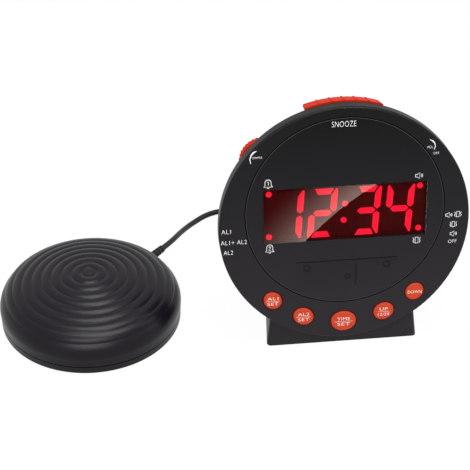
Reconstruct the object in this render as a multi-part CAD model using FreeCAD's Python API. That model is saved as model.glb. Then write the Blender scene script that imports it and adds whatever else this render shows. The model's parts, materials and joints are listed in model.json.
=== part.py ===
import FreeCAD, Part
import math
import os
from FreeCAD import Placement, Rotation, Vector

# A bed shaker alarm clock, in millimetres. The clock's face looks along -Y, +Z is up and +X is to the
# right of someone reading the time. The origin is the middle of the underside of the clock's foot.
# The bed shaker lies to the left of the clock and is joined to it by its lead.

# Driving dimensions of the clock
face_radius = 73.0
face_tilt = 10.7
rim_depth = 8.2
head_depth = 44.0
head_bulge = 0.8
head_edge_radius = 4.0
base_width = 91.0
base_depth = 62.0
base_rear_width = 77.0
base_height = 40.0
base_top_width = 82.0
base_top_rear_width = 76.0
base_rear_lean = 15.0
base_setback = 2.9
base_corner_radius = 2.5
wall = 2.2
front_wall = 3.2
lens_thickness = 1.6
lens_rise = 8.85

# Driving dimensions of the bed shaker
shaker_radius = 54.7
shaker_gap = 20.7
shaker_y = 9.6
shaker_wall = 2.4

# Driving dimensions of the shaker's lead
lead_radius = 1.8
coil_inner_radius = 14.5
coil_pitch = 4.15
coil_layer_height = 4.1
coil_centre_y = 84.0
turns_per_layer = 3
layer_count = 4
last_layer_extra_turns = 0.25

# Clearances and cutting allowances shared by all pieces
seat_gap = 0.1
fit_gap = 0.2
moving_gap = 0.35
shaft_gap = 0.05
overrun = 1.0

# Sizes of the clock that follow its face
face_lift = 3.6
head_front_step = 1.5
head_rear_step = 16.0
lens_margin = 15.55
display_width_share = 1.6432
display_height_share = 0.5744
digit_height_share = 0.9212
face_height = face_radius + face_lift
head_front_radius = face_radius - head_front_step
head_rear_radius = face_radius - head_rear_step
lens_radius = face_radius - lens_margin
display_width = display_width_share * lens_radius
display_height = display_height_share * lens_radius
digit_height = digit_height_share * display_height

# Sizes of the shaker that follow its radius
shaker_height_share = 0.6033
dome_radius_share = 2.3766
shoulder_radius_share = 0.3108
seam_height_share = 0.0951
shaker_height = shaker_height_share * shaker_radius
shaker_dome_radius = dome_radius_share * shaker_radius
shaker_shoulder_radius = shoulder_radius_share * shaker_radius
shaker_seam_height = seam_height_share * shaker_radius
shaker_x = -face_radius - shaker_gap - shaker_radius

os.makedirs("parts", exist_ok=True)


def save(name, shape):
    """Writes one named sub-part."""
    shape.exportStep("parts/" + name + ".step")


def rod(radius, low, high, x=0.0, y=0.0):
    """A round bar along Z between two heights."""
    return Part.makeCylinder(radius, high - low, Vector(x, y, low))


def bar_along_y(radius, front, rear, x, z):
    """A round bar along Y."""
    return Part.makeCylinder(radius, rear - front, Vector(x, front, z), Vector(0, 1, 0))


def block(x_low, x_high, y_low, y_high, z_low, z_high):
    """A box between pairs of limits."""
    return Part.makeBox(x_high - x_low, y_high - y_low, z_high - z_low, Vector(x_low, y_low, z_low))


def join(shapes):
    """Fuses a list of solids into one."""
    return shapes[0].multiFuse(shapes[1:]).removeSplitter() if len(shapes) > 1 else shapes[0]


def group(shapes):
    """Keeps separate solids together as one sub-part."""
    return Part.makeCompound(shapes)


def in_head(shape):
    """Moves a shape from the head's own frame, where Z points out of the face, to the clock's frame."""
    shape = shape.copy()
    turn = Rotation(Vector(1, 0, 0), 90.0 - face_tilt)
    shape.Placement = Placement(Vector(0, face_y, face_height), turn).multiply(shape.Placement)
    return shape


def elliptic_prism(half_length, half_width, low, high, x, y, turn):
    """An upright prism on an ellipse whose long axis is turned from X."""
    outline = Part.Wire(Part.Ellipse(Vector(0, 0, 0), half_length, half_width).toShape())
    solid = Part.Face(outline).extrude(Vector(0, 0, high - low))
    solid.Placement = Placement(Vector(x, y, low), Rotation(Vector(0, 0, 1), turn))
    return solid


def rounded_outline(points, radius):
    """A closed wire through corner points, each corner rounded by an arc."""
    edges = []
    count = len(points)
    ends = []
    for i in range(count):
        corner = points[i]
        before = (points[i - 1] - corner).normalize()
        after = (points[(i + 1) % count] - corner).normalize()
        half = before.getAngle(after) / 2
        start = corner + before * (radius / math.tan(half))
        end = corner + after * (radius / math.tan(half))
        inwards = (before + after).normalize()
        middle = corner + inwards * (radius / math.sin(half) - radius)
        ends.append((start, middle, end))
    for i in range(count):
        start, middle, end = ends[i]
        edges.append(Part.Arc(start, middle, end).toShape())
        edges.append(Part.LineSegment(end, ends[(i + 1) % count][0]).toShape())
    return Part.Wire(edges)


def polygon_prism(points, low, high):
    """An upright prism on a polygon of (x, y) points."""
    corners = [Vector(x, y, low) for x, y in points]
    return Part.Face(Part.makePolygon(corners + corners[:1])).extrude(Vector(0, 0, high - low))


def turned(outline):
    """A solid of revolution about Z from edges of its half profile in the XZ plane."""
    return Part.Face(Part.Wire(outline)).revolve(Vector(0, 0, 0), Vector(0, 0, 1), 360)


def line(a, b):
    """A straight edge between two (radius, height) points of a half profile."""
    return Part.LineSegment(Vector(a[0], 0, a[1]), Vector(b[0], 0, b[1])).toShape()


def arc(a, middle, b):
    """An arc through three (radius, height) points of a half profile."""
    return Part.Arc(Vector(a[0], 0, a[1]), Vector(middle[0], 0, middle[1]), Vector(b[0], 0, b[1])).toShape()


def turned_polygon(points):
    """A solid of revolution about Z from (radius, height) corners."""
    return turned([line(points[i - 1], points[i]) for i in range(len(points))])


# The face leans back about its lower edge, so its middle lies behind the foot's front edge
tilt = math.radians(face_tilt)
face_y = -base_depth / 2 - base_setback + math.tan(tilt) * face_height


# Clock housing

lens_recess = 0.2
lens_side_gap = 0.15
lens_ledge = 2.4
rim_wall = 4.0
rim_front_rounding = 1.2
rim_rear_rounding = 0.8
casing_screw_radius = 1.3
casing_screw_head_radius = 2.8
casing_screw_head_height = 1.8
casing_pilot_radius = 1.4
casing_boss_radius = 3.6
casing_well_radius = 3.3
casing_well_wall = 1.3
upper_screw_step = 5.95
upper_screw_angle = 17.35
upper_seat_depth = 13.0
lower_screw_step = 9.98
lower_screw_angle = 33.1
lower_seat_depth = 17.0
button_board_depth = 11.0
button_board_thickness = 1.6
screw_bite = 4.6
upper_screw_x = (face_radius - upper_screw_step) * math.cos(math.radians(upper_screw_angle))
upper_screw_y = (face_radius - upper_screw_step) * math.sin(math.radians(upper_screw_angle))
lower_screw_x = (face_radius - lower_screw_step) * math.sin(math.radians(lower_screw_angle))
lower_screw_y = -(face_radius - lower_screw_step) * math.cos(math.radians(lower_screw_angle))


def casing_screw_places():
    """(x, y, depth where the front boss ends, depth where the rear post starts, depth of the head's seat)."""
    places = []
    rear_start = button_board_depth + button_board_thickness
    for side in (-1, 1):
        places.append((side * upper_screw_x, upper_screw_y, rim_depth, rim_depth, upper_seat_depth))
        places.append((side * lower_screw_x, lower_screw_y, button_board_depth, rear_start, lower_seat_depth))
    return places


# The five oval buttons: name, angle from straight down, half length and half width of the cap
button_circle_step = 11.0
button_circle_radius = face_radius - button_circle_step
outer_button_angle = 43.0
inner_button_angle = 22.8
small_button_half_length = 5.6
small_button_half_width = 5.1
medium_button_half_length = 6.15
medium_button_half_width = 5.3
large_button_half_length = 7.5
large_button_half_width = 6.35
button_table = [
    ("button_alarm_1", -outer_button_angle, small_button_half_length, small_button_half_width),
    ("button_alarm_2", -inner_button_angle, medium_button_half_length, medium_button_half_width),
    ("button_time", 0.0, large_button_half_length, large_button_half_width),
    ("button_up", inner_button_angle, medium_button_half_length, medium_button_half_width),
    ("button_down", outer_button_angle, small_button_half_length, small_button_half_width),
]
button_overlap = 0.5
button_proud = 1.2
button_edge_rounding = 0.9
button_travel = 0.7
button_flange = 1.1
button_flange_thickness = 1.2
button_stem_radius = 2.0
button_stem_end = 6.0
tact_body_size = 6.0
tact_plunger_radius = 1.75
tact_plunger_end = 7.0
tact_body_front = 7.6


def button_place(angle):
    """Where a button stands on the face."""
    a = math.radians(angle)
    return button_circle_radius * math.sin(a), -button_circle_radius * math.cos(a)


def front_bezel():
    """The round front of the casing, with the window's pocket and the holes of the five buttons."""
    body = rod(face_radius, -rim_depth, 0)
    front_edge = [e for e in body.Edges if abs(e.BoundBox.ZMax) < seat_gap
                  and e.BoundBox.XLength > face_radius]
    body = body.makeFillet(rim_front_rounding, front_edge[:1])
    rear_edge = [e for e in body.Edges if abs(e.BoundBox.ZMax + rim_depth) < seat_gap
                 and e.BoundBox.XLength > face_radius]
    body = body.makeFillet(rim_rear_rounding, rear_edge[:1])
    cuts = [rod(face_radius - rim_wall, -rim_depth - overrun, -front_wall)]
    pocket_depth = lens_recess + lens_thickness
    cuts.append(rod(lens_radius + lens_side_gap, -pocket_depth, overrun, 0, lens_rise))
    cuts.append(rod(lens_radius - lens_ledge, -rim_depth, overrun, 0, lens_rise))
    for name, angle, half_length, half_width in button_table:
        x, y = button_place(angle)
        cuts.append(elliptic_prism(half_length + moving_gap, half_width + moving_gap, -rim_depth, overrun,
                                   x, y, angle))
    for cut in cuts:
        body = body.cut(cut)
    for x, y, front_end, rear_start, seat in casing_screw_places():
        boss = rod(casing_boss_radius, -front_end, -front_wall, x, y)
        body = body.fuse(boss.common(rod(face_radius - rim_wall / 2, -head_depth, 0)))
        body = body.cut(rod(casing_pilot_radius, -front_end - overrun, -front_wall, x, y))
    return body.removeSplitter()


def head_outer(inset):
    """The drum of the rear casing, inset by a wall for its hollow."""
    front = (head_front_radius - inset, -rim_depth)
    rear = (head_rear_radius - inset, -head_depth + head_edge_radius)
    floor = -head_depth + inset
    rounding = head_edge_radius - inset / 2
    rear = (rear[0], floor + rounding)
    middle = ((front[0] + rear[0]) / 2 + head_bulge, (front[1] + rear[1]) / 2)
    turn = rounding * (1 - math.cos(math.pi / 4))
    edges = [arc(front, middle, rear)]
    edges.append(arc(rear, (rear[0] - turn, floor + turn), (rear[0] - rounding, floor)))
    edges.append(line((rear[0] - rounding, floor), (0, floor)))
    top = -rim_depth + (overrun if inset else 0)
    edges.append(line((0, floor), (0, top)))
    edges.append(line((0, top), (front[0], top)))
    if inset:
        edges.append(line((front[0], top), front))
    return turned(edges)


def foot_section(z, inset):
    """One level outline of the foot, whose front lies parallel to the face."""
    share = z / base_height
    front_half = (base_width + share * (base_top_width - base_width)) / 2 - inset
    rear_half = (base_rear_width + share * (base_top_rear_width - base_rear_width)) / 2 - inset
    front = -base_depth / 2 + inset + z * math.tan(tilt)
    rear = base_depth / 2 - inset - share * base_rear_lean
    corners = [Vector(-front_half, front, z), Vector(front_half, front, z)]
    corners += [Vector(rear_half, rear, z), Vector(-rear_half, rear, z)]
    return rounded_outline(corners, base_corner_radius)


def foot(inset, low, high):
    """A solid of the foot's outline between two heights."""
    return Part.makeLoft([foot_section(low, inset), foot_section(high, inset)], True, True)


def bezel_seat():
    """The room that the front bezel takes out of the foot."""
    return in_head(rod(face_radius + seat_gap, -rim_depth, head_depth))


# Snooze bar, on top of the head just behind the rim
snooze_front = 8.6
snooze_rear = 20.0
snooze_half_angle = 17.9
snooze_end_gap_angle = 0.7
snooze_front_rise = 0.6
snooze_front_radius = face_radius + snooze_front_rise
snooze_rear_drop = 1.1
snooze_rear_radius = face_radius - snooze_rear_drop
snooze_inner_step = 10.4
snooze_inner_radius = face_radius - snooze_inner_step
snooze_flange_thickness = 1.3
snooze_flange_radius = snooze_inner_radius + snooze_flange_thickness
snooze_flange_reach = 1.3
snooze_flange_angle = 1.2
snooze_wall = 1.8
snooze_edge_rounding = 1.2
snooze_travel = 1.5
snooze_ridge_radius = 0.9
snooze_ridge_height = 0.25
snooze_ridge_angle = 5.6
snooze_ridge_count = 5
snooze_stem_half_width = 3.0
snooze_stem_front = 13.5
snooze_stem_rear = 17.5
snooze_stem_step = 13.6
snooze_stem_end = face_radius - snooze_stem_step
slot_gap = 0.4


def sector(points, half_angle):
    """A revolved piece about the head's axis, centred on the top, from (radius, height) corners."""
    edges = [line(points[i - 1], points[i]) for i in range(len(points))]
    solid = Part.Face(Part.Wire(edges)).revolve(Vector(0, 0, 0), Vector(0, 0, 1), 2 * half_angle)
    solid.rotate(Vector(0, 0, 0), Vector(0, 0, 1), 90.0 - half_angle)
    return solid


# Dimmer and volume wheels, at the upper left and upper right behind the rim
wheel_radius = 14.0
wheel_front = 10.2
wheel_thickness = 5.0
wheel_axis_step = 13.8
wheel_axis_radius = face_radius - wheel_axis_step
volume_wheel_sink = 1.1
wheel_angle = 140.0
wheel_tooth_count = 36
wheel_tooth_depth = 0.5
wheel_shaft_radius = 2.0
wheel_shaft_length = 4.0
wheel_slot_gap = 0.5
pot_half_size = 4.1
board_depth = 21.0
board_thickness = 1.6


def wheel_place(side):
    """The axis of a wheel in the head's frame: side -1 is the dimmer, +1 the volume."""
    a = math.radians(wheel_angle)
    radius = wheel_axis_radius if side < 0 else wheel_axis_radius - volume_wheel_sink
    return -side * radius * math.cos(a), radius * math.sin(a)


# Slide switches at the two sides, behind the rim
slider_height = -5.7
slider_depth = 13.2
slider_knob_half_length = 3.0
slider_knob_half_depth = 2.0
slider_knob_step = 1.4
slider_knob_length = 5.1
slider_tongue_half = 1.5
slider_tongue_length = 7.9
switch_gap = 5.0
switch_depth = 5.5
switch_front = 9.6
switch_end_wall = 1.6
alarm_select_travel = 8.0
mode_select_travel = 12.0
knob_rib_count = 3
knob_rib_pitch = 1.6
knob_rib_radius = 0.45
slider_knob_outer = face_radius - slider_knob_step
slider_knob_inner = slider_knob_outer - slider_knob_length
slider_tongue_inner = slider_knob_inner - slider_tongue_length
switch_outer = slider_knob_inner - switch_gap
switch_inner = switch_outer - switch_depth

# Openings and sockets at the back
grille_radius = 24.0
grille_rise = 6.0
grille_slot_width = 2.0
grille_slot_pitch = 5.0
grille_half_count = 4
jack_x = 20.0
jack_z = 20.0
jack_nose_radius = 4.3
jack_nose_proud = 2.7
jack_nose_length = 6.8
jack_body_length = 4.0
jack_body_half_width = 5.0
jack_body_half_height = 4.6
power_bore_radius = 2.8
power_bore_length = 9.5
shaker_bore_radius = 1.9
shaker_bore_length = 10.0
jack_face = base_depth / 2 - base_rear_lean * jack_z / base_height + jack_nose_proud
jack_nose_front = jack_face - jack_nose_length
jack_body_front = jack_nose_front - jack_body_length

# Posts inside the rear casing for the main board
board_post_radius = 3.2
board_post_pilot_radius = 1.2
board_post_side_gap = 4.35
board_post_drop = 8.05
board_post_low = -24.0
board_screw_radius = 1.1
board_screw_head_radius = 2.4
board_screw_head_height = 1.4
board_screw_length = 7.0

# Screws that hold the foot's bottom plate
plate_thickness = 2.4
plate_screw_inset = 7.5
plate_screw_front_inset = 6.5
plate_screw_front_x = base_width / 2 - plate_screw_inset
plate_screw_front_y = -base_depth / 2 + plate_screw_front_inset
plate_screw_rear_x = base_rear_width / 2 - plate_screw_inset
plate_screw_rear_y = base_depth / 2 - plate_screw_inset
plate_post_radius = 3.5
plate_post_top = 11.0
plate_screw_radius = 1.3
plate_screw_head_radius = 2.5
plate_recess_radius = 2.9
plate_recess_depth = 1.4
plate_screw_head_height = 1.2
plate_screw_top = 9.0


def plate_screw_places():
    """The four screws of the bottom plate."""
    front = [(side * plate_screw_front_x, plate_screw_front_y) for side in (-1, 1)]
    return front + [(side * plate_screw_rear_x, plate_screw_rear_y) for side in (-1, 1)]


def board_post_places():
    """The four posts of the main board."""
    wheel_x, wheel_y = wheel_place(-1)
    x = wheel_x + board_post_side_gap
    return [(side * x, y) for side in (-1, 1) for y in (board_post_low, wheel_y - board_post_drop)]


def slot_box(side, travel):
    """The slot of a side slider through the drum's wall."""
    half = slider_knob_half_length + travel / 2 + moving_gap
    deep = slider_knob_half_depth + moving_gap
    x_low, x_high = sorted((side * (switch_outer + overrun), side * (face_radius + overrun)))
    return block(x_low, x_high, slider_height - half, slider_height + half,
                 -slider_depth - deep, -slider_depth + deep)


# The battery's bay opens to the underside and its door leaves through the rear edge
door_half_width = 26.6
door_thickness = 1.6
door_lift = 0.2
door_front = -14.4
door_tongue = 1.1
door_tongue_low = 0.6
door_tongue_high = 1.2
door_gap = 0.3
door_travel = 20.0


def rear_casing():
    """The drum behind the face and the foot below it, in one hollow moulding."""
    shell_outer = in_head(head_outer(0)).fuse(foot(0, 0, base_height))
    body = shell_outer.cut(in_head(head_outer(wall))).cut(foot(wall, -overrun, base_height + overrun))
    body = body.cut(bezel_seat())
    posts = []
    holes = []
    far = 2 * head_depth
    for x, y, front_end, rear_start, seat in casing_screw_places():
        posts.append(in_head(rod(casing_well_radius + casing_well_wall, -far, -rear_start, x, y)))
        holes.append(in_head(rod(casing_well_radius, -far, -seat, x, y)))
        holes.append(in_head(rod(casing_screw_radius + fit_gap, -far, overrun - rear_start, x, y)))
    post_front = board_depth + board_thickness
    for x, y in board_post_places():
        posts.append(in_head(rod(board_post_radius, -head_depth + wall / 2, -post_front, x, y)))
        pilot_end = post_front + board_screw_length
        holes.append(in_head(rod(board_post_pilot_radius, -pilot_end, -post_front, x, y)))
    for x, y in plate_screw_places():
        posts.append(rod(plate_post_radius, plate_thickness, plate_post_top, x, y))
        holes.append(rod(plate_screw_radius + seat_gap, 0, plate_screw_top + overrun, x, y))
    for post in posts:
        body = body.fuse(post.common(shell_outer))
    holes.append(in_head(sector([(snooze_inner_radius - 2 * overrun, -snooze_rear - slot_gap),
                                 (face_radius + 2 * overrun, -snooze_rear - slot_gap),
                                 (face_radius + 2 * overrun, -rim_depth),
                                 (snooze_inner_radius - 2 * overrun, -rim_depth)],
                                snooze_half_angle + snooze_end_gap_angle)))
    slot_rear = wheel_front + wheel_thickness + wheel_slot_gap
    nose_hole = jack_nose_radius + fit_gap
    for side in (-1, 1):
        x, y = wheel_place(side)
        holes.append(in_head(rod(wheel_radius + wheel_slot_gap, -slot_rear, -wheel_front + wheel_slot_gap, x, y)))
        holes.append(bar_along_y(nose_hole, jack_body_front, base_depth, side * jack_x, jack_z))
    holes.append(in_head(slot_box(-1, alarm_select_travel)))
    holes.append(in_head(slot_box(1, mode_select_travel)))
    for k in range(-grille_half_count, grille_half_count + 1):
        y = k * grille_slot_pitch
        half = math.sqrt(grille_radius ** 2 - y ** 2)
        holes.append(in_head(block(-half, half, grille_rise + y - grille_slot_width / 2,
                                   grille_rise + y + grille_slot_width / 2, -head_depth - overrun,
                                   -head_depth + wall + seat_gap)))
    door_room = door_half_width + door_gap
    holes.append(block(-door_room, door_room, 0, base_depth, -overrun, door_lift + door_thickness + door_gap))
    for hole in holes:
        body = body.cut(hole)
    return body.removeSplitter()


def face_lens():
    """The round smoked window over the display."""
    disc = rod(lens_radius, -lens_recess - lens_thickness, -lens_recess, 0, lens_rise)
    edges = [e for e in disc.Edges if abs(e.BoundBox.ZMin + lens_recess) < seat_gap]
    return disc.makeChamfer(lens_side_gap, edges[:1])


# Display and its mask

mask_front = 2.0
mask_thickness = 1.4
mask_flange_reach = 2.0
alert_shift = 1.0
alert_half_share = 0.5222
alert_top_share = 0.52654
alert_bottom_share = 0.86771
alert_half_width = alert_half_share * lens_radius
alert_left = alert_shift - alert_half_width
alert_right = alert_shift + alert_half_width
alert_top = lens_rise - alert_top_share * lens_radius
alert_bottom = lens_rise - alert_bottom_share * lens_radius
display_front = 3.0
display_back = 9.8
display_flange_reach = 3.2
display_flange_thickness = 1.6
segment_thickness = 0.4
segment_width_share = 0.11842
segment_tip_share = 0.25
segment_width = segment_width_share * digit_height
digit_width_share = 0.52303
digit_width = digit_width_share * digit_height
digit_slant = 4.0
segment_gap = 0.8
inner_pitch_share = 0.13506
outer_pitch_share = 0.34004
digit_inner_pitch = inner_pitch_share * display_width
digit_outer_pitch = outer_pitch_share * display_width
display_drop = 0.21
digit_drop = 0.89
display_rise = lens_rise - display_drop
digit_rise = display_rise - digit_drop
colon_spread_share = 0.16941
colon_spread = colon_spread_share * digit_height
colon_dot_radius = 1.75
corner_dot_side_share = 0.46398
corner_dot_high_share = 0.38667
corner_dot_low_share = 0.42545
corner_dot_x = corner_dot_side_share * display_width
corner_dot_high = display_rise + corner_dot_high_share * display_height
corner_dot_low = display_rise - corner_dot_low_share * display_height
corner_dot_radius = 1.75


def display_mask():
    """The black plate behind the window, with an opening for the display and one for the alert lights."""
    flange_front = front_wall
    plate = rod(lens_radius - lens_ledge - fit_gap, -flange_front, -mask_front, 0, lens_rise)
    plate = plate.fuse(rod(lens_radius + mask_flange_reach, -flange_front - mask_thickness, -flange_front,
                           0, lens_rise))
    depth = flange_front + mask_thickness + overrun
    plate = plate.cut(block(-display_width / 2, display_width / 2, display_rise - display_height / 2,
                            display_rise + display_height / 2, -depth, 0))
    plate = plate.cut(block(alert_left, alert_right, alert_bottom, alert_top, -depth, 0))
    return plate.removeSplitter()


def display_module():
    """The display's block, with the flange that seats behind the mask."""
    half_width = display_width / 2 - fit_gap
    half_height = display_height / 2 - fit_gap
    core = block(-half_width, half_width, display_rise - half_height, display_rise + half_height,
                 -display_back, -display_front)
    seat = front_wall + mask_thickness
    reach_x = half_width + display_flange_reach
    reach_y = half_height + display_flange_reach
    flange = block(-reach_x, reach_x, display_rise - reach_y, display_rise + reach_y,
                   -seat - display_flange_thickness, -seat)
    return core.fuse(flange).removeSplitter()


def segment_outlines():
    """The seven segments of a digit centred on its middle, as corner points in its upright frame."""
    w = digit_width / 2
    h = digit_height / 2
    s = segment_width
    tip = segment_tip_share * s
    taper = s * math.tan(math.radians(50.0))
    gap = segment_gap
    top = [(-w + tip + 2 * gap, h), (w - tip - 2 * gap, h), (w - s - gap, h - s), (-w + s + gap, h - s)]
    upper = [(w - tip, h), (w, h - tip), (w, s / 2 + gap / 2), (w - s / 2, gap), (w - s, s / 2 + gap / 2),
             (w - s, h - taper)]
    middle_reach = w - s / 2 - gap
    middle = [(-middle_reach, 0), (-middle_reach + s / 2, s / 2), (middle_reach - s / 2, s / 2),
              (middle_reach, 0), (middle_reach - s / 2, -s / 2), (-middle_reach + s / 2, -s / 2)]
    flip = [(x, -y) for x, y in upper]
    return {
        "a": top,
        "b": upper,
        "c": flip,
        "d": [(x, -y) for x, y in top],
        "e": [(-x, y) for x, y in flip],
        "f": [(-x, y) for x, y in upper],
        "g": middle,
    }


lit_segments = ["bc", "abged", "abgcd", "fgbc"]
digit_centres = [-digit_outer_pitch, -digit_inner_pitch, digit_inner_pitch, digit_outer_pitch]


def segment_solids(lit):
    """The light windows of the display that are lit, or those that are dark."""
    lean = math.tan(math.radians(digit_slant))
    low = -display_front
    high = low + segment_thickness
    solids = []
    for centre, shown in zip(digit_centres, lit_segments):
        for name, outline in segment_outlines().items():
            if (name in shown) == lit:
                points = [(centre + x + y * lean, digit_rise + y) for x, y in outline]
                solids.append(in_head(polygon_prism(points, low, high)))
    if lit:
        for y in (-colon_spread, colon_spread):
            solids.append(in_head(rod(colon_dot_radius, low, high, y * lean, digit_rise + y)))
        for x in (-corner_dot_x, corner_dot_x):
            for y in (corner_dot_low, corner_dot_high):
                solids.append(in_head(rod(corner_dot_radius, low, high, x, y)))
    return group(solids)


# Alert lights behind the lower window

alert_board_reach = 2.5
alert_board_thickness = 1.6
alert_led_x = 2.0
alert_pitch_share = 0.6333
alert_led_drop_share = 0.5765
alert_led_pitch = alert_pitch_share * alert_half_width
alert_led_y = alert_top - alert_led_drop_share * (alert_top - alert_bottom)
alert_led_length = 5.0
alert_led_width = 2.8
alert_led_height = 1.1
alert_screw_share = 0.7833
alert_screw_drop = 4.6
alert_screw_x = alert_screw_share * alert_half_width
alert_screw_y = alert_top - alert_screw_drop
alert_screw_radius = 2.4
alert_screw_height = 0.9
alert_divider_x = 7.0
alert_divider_thickness = 0.8


def alert_light_board():
    """The board of the alert lights, seated behind the mask's lower opening."""
    seat = front_wall + mask_thickness
    board = block(alert_left - alert_board_reach, alert_right + alert_board_reach,
                  alert_bottom - alert_board_reach, alert_top + alert_board_reach,
                  -seat - alert_board_thickness, -seat)
    divider = block(alert_divider_x, alert_divider_x + alert_divider_thickness, alert_bottom + seat_gap,
                    alert_top - seat_gap, -seat, -front_wall)
    return board.fuse(divider)


def alert_leds():
    """Three light packages on the alert board."""
    seat = front_wall + mask_thickness
    solids = []
    for k in (-1, 0, 1):
        x = alert_led_x + k * alert_led_pitch
        solids.append(block(x - alert_led_length / 2, x + alert_led_length / 2,
                            alert_led_y - alert_led_width / 2, alert_led_y + alert_led_width / 2,
                            -seat, -seat + alert_led_height))
    return group([in_head(s) for s in solids])


def alert_screws():
    """Two round screw heads at the upper corners of the alert board."""
    seat = front_wall + mask_thickness
    middle = (alert_left + alert_right) / 2
    return group([in_head(rod(alert_screw_radius, -seat, -seat + alert_screw_height,
                              middle + side * alert_screw_x, alert_screw_y)) for side in (-1, 1)])


# Buttons and their switches

def button(angle, half_length, half_width):
    """One oval button: its cap, the flange behind the wall and the stem that presses the switch."""
    x, y = button_place(angle)
    flange_front = front_wall + moving_gap
    cap = elliptic_prism(half_length, half_width, -flange_front - button_overlap, button_proud, x, y, angle)
    top = [e for e in cap.Edges if abs(e.BoundBox.ZMin - button_proud) < seat_gap]
    cap = cap.makeFillet(button_edge_rounding, top)
    flange = elliptic_prism(half_length + button_flange, half_width + button_flange,
                            -flange_front - button_flange_thickness, -flange_front, x, y, angle)
    flange = flange.common(rod(face_radius - rim_wall - moving_gap, -head_depth, 0))
    stem = rod(button_stem_radius, -button_stem_end, -flange_front, x, y)
    return in_head(join([cap, flange, stem]))


button_board_inner_reach = 5.5
button_board_outer_reach = 5.2
button_board_inner_radius = button_circle_radius - button_board_inner_reach
button_board_outer_radius = button_circle_radius + button_board_outer_reach
button_board_half_angle = 52.0


def button_board():
    """The curved board behind the buttons, clamped at the two lower casing screws."""
    low = -button_board_depth - button_board_thickness
    high = -button_board_depth
    ring = [(button_board_inner_radius, low), (button_board_outer_radius, low),
            (button_board_outer_radius, high), (button_board_inner_radius, high)]
    board = sector(ring, button_board_half_angle)
    board.rotate(Vector(0, 0, 0), Vector(0, 0, 1), 180)
    for side in (-1, 1):
        board = board.cut(rod(casing_pilot_radius + fit_gap, low - overrun, high + overrun,
                              side * lower_screw_x, lower_screw_y))
    return in_head(board)


def tact_switch(x, y, turn):
    """A push switch standing on the button board."""
    half = tact_body_size / 2
    body = block(-half, half, -half, half, -button_board_depth, -tact_body_front)
    body = body.fuse(rod(tact_plunger_radius, -tact_body_front, -tact_plunger_end))
    body.rotate(Vector(0, 0, 0), Vector(0, 0, 1), turn)
    body.translate(Vector(x, y, 0))
    return in_head(body)


def button_switches():
    """The five push switches."""
    return group([tact_switch(*button_place(angle), angle) for name, angle, length, width in button_table])


# Snooze bar and its switch

def snooze_bar():
    """The curved orange bar, hollow below, with ridges across its top and a stem that presses its switch."""
    outer = sector([(snooze_inner_radius, -snooze_rear), (snooze_rear_radius, -snooze_rear),
                    (snooze_front_radius, -snooze_front), (snooze_inner_radius, -snooze_front)],
                   snooze_half_angle)
    rounded = []
    for edge in outer.Edges:
        middle = edge.valueAt((edge.FirstParameter + edge.LastParameter) / 2)
        radius = math.hypot(middle.x, middle.y)
        if radius > snooze_rear_radius - seat_gap and middle.z < -snooze_front - seat_gap:
            rounded.append(edge)
    outer = outer.makeFillet(snooze_edge_rounding, rounded)
    slope = Vector(0, snooze_rear_radius - snooze_front_radius, snooze_front - snooze_rear)
    ridge_rise = snooze_front_radius - snooze_ridge_radius + snooze_ridge_height
    start = Vector(0, ridge_rise, -snooze_front - snooze_edge_rounding)
    length = snooze_rear - snooze_front - 2 * snooze_edge_rounding
    ridges = []
    for k in range(-(snooze_ridge_count // 2), snooze_ridge_count // 2 + 1):
        ridge = Part.makeCylinder(snooze_ridge_radius, length, start, slope)
        ridge.rotate(Vector(0, 0, 0), Vector(0, 0, 1), k * snooze_ridge_angle)
        ridges.append(ridge)
    hollow_angle = snooze_half_angle - math.degrees(snooze_wall / snooze_front_radius)
    hollow = sector([(snooze_inner_radius - overrun, -snooze_rear + snooze_wall),
                     (snooze_rear_radius - snooze_wall, -snooze_rear + snooze_wall),
                     (snooze_rear_radius - snooze_wall, -snooze_front - snooze_wall),
                     (snooze_inner_radius - overrun, -snooze_front - snooze_wall)], hollow_angle)
    flange = sector([(snooze_inner_radius, -snooze_rear - snooze_flange_reach),
                     (snooze_flange_radius, -snooze_rear - snooze_flange_reach),
                     (snooze_flange_radius, -snooze_front), (snooze_inner_radius, -snooze_front)],
                    snooze_half_angle + snooze_flange_angle)
    stem = block(-snooze_stem_half_width, snooze_stem_half_width, snooze_stem_end,
                 snooze_rear_radius - snooze_wall / 2, -snooze_stem_rear, -snooze_stem_front)
    body = outer.fuse(flange).cut(hollow)
    return in_head(join([body, stem] + ridges))


snooze_board_half_width = 13.0
snooze_board_front = 11.0
snooze_board_drop = 5.4
snooze_board_top = snooze_stem_end - snooze_board_drop
snooze_board_thickness = 1.6
snooze_switch_height = 3.4
snooze_plunger_gap = 1.8
snooze_plunger_top = snooze_stem_end - snooze_plunger_gap


def snooze_board():
    """The small board that stands out from the main board below the snooze bar."""
    return in_head(block(-snooze_board_half_width, snooze_board_half_width,
                         snooze_board_top - snooze_board_thickness, snooze_board_top,
                         -board_depth, -snooze_board_front))


def snooze_switch():
    """The push switch under the snooze bar's stem."""
    half = tact_body_size / 2
    depth = (snooze_stem_front + snooze_stem_rear) / 2
    body = block(-half, half, snooze_board_top, snooze_board_top + snooze_switch_height,
                 -depth - half, -depth + half)
    plunger = Part.makeCylinder(tact_plunger_radius, snooze_plunger_top - snooze_board_top,
                                Vector(0, snooze_board_top, -depth), Vector(0, 1, 0))
    return in_head(body.fuse(plunger))


# Wheels and their potentiometers

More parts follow.
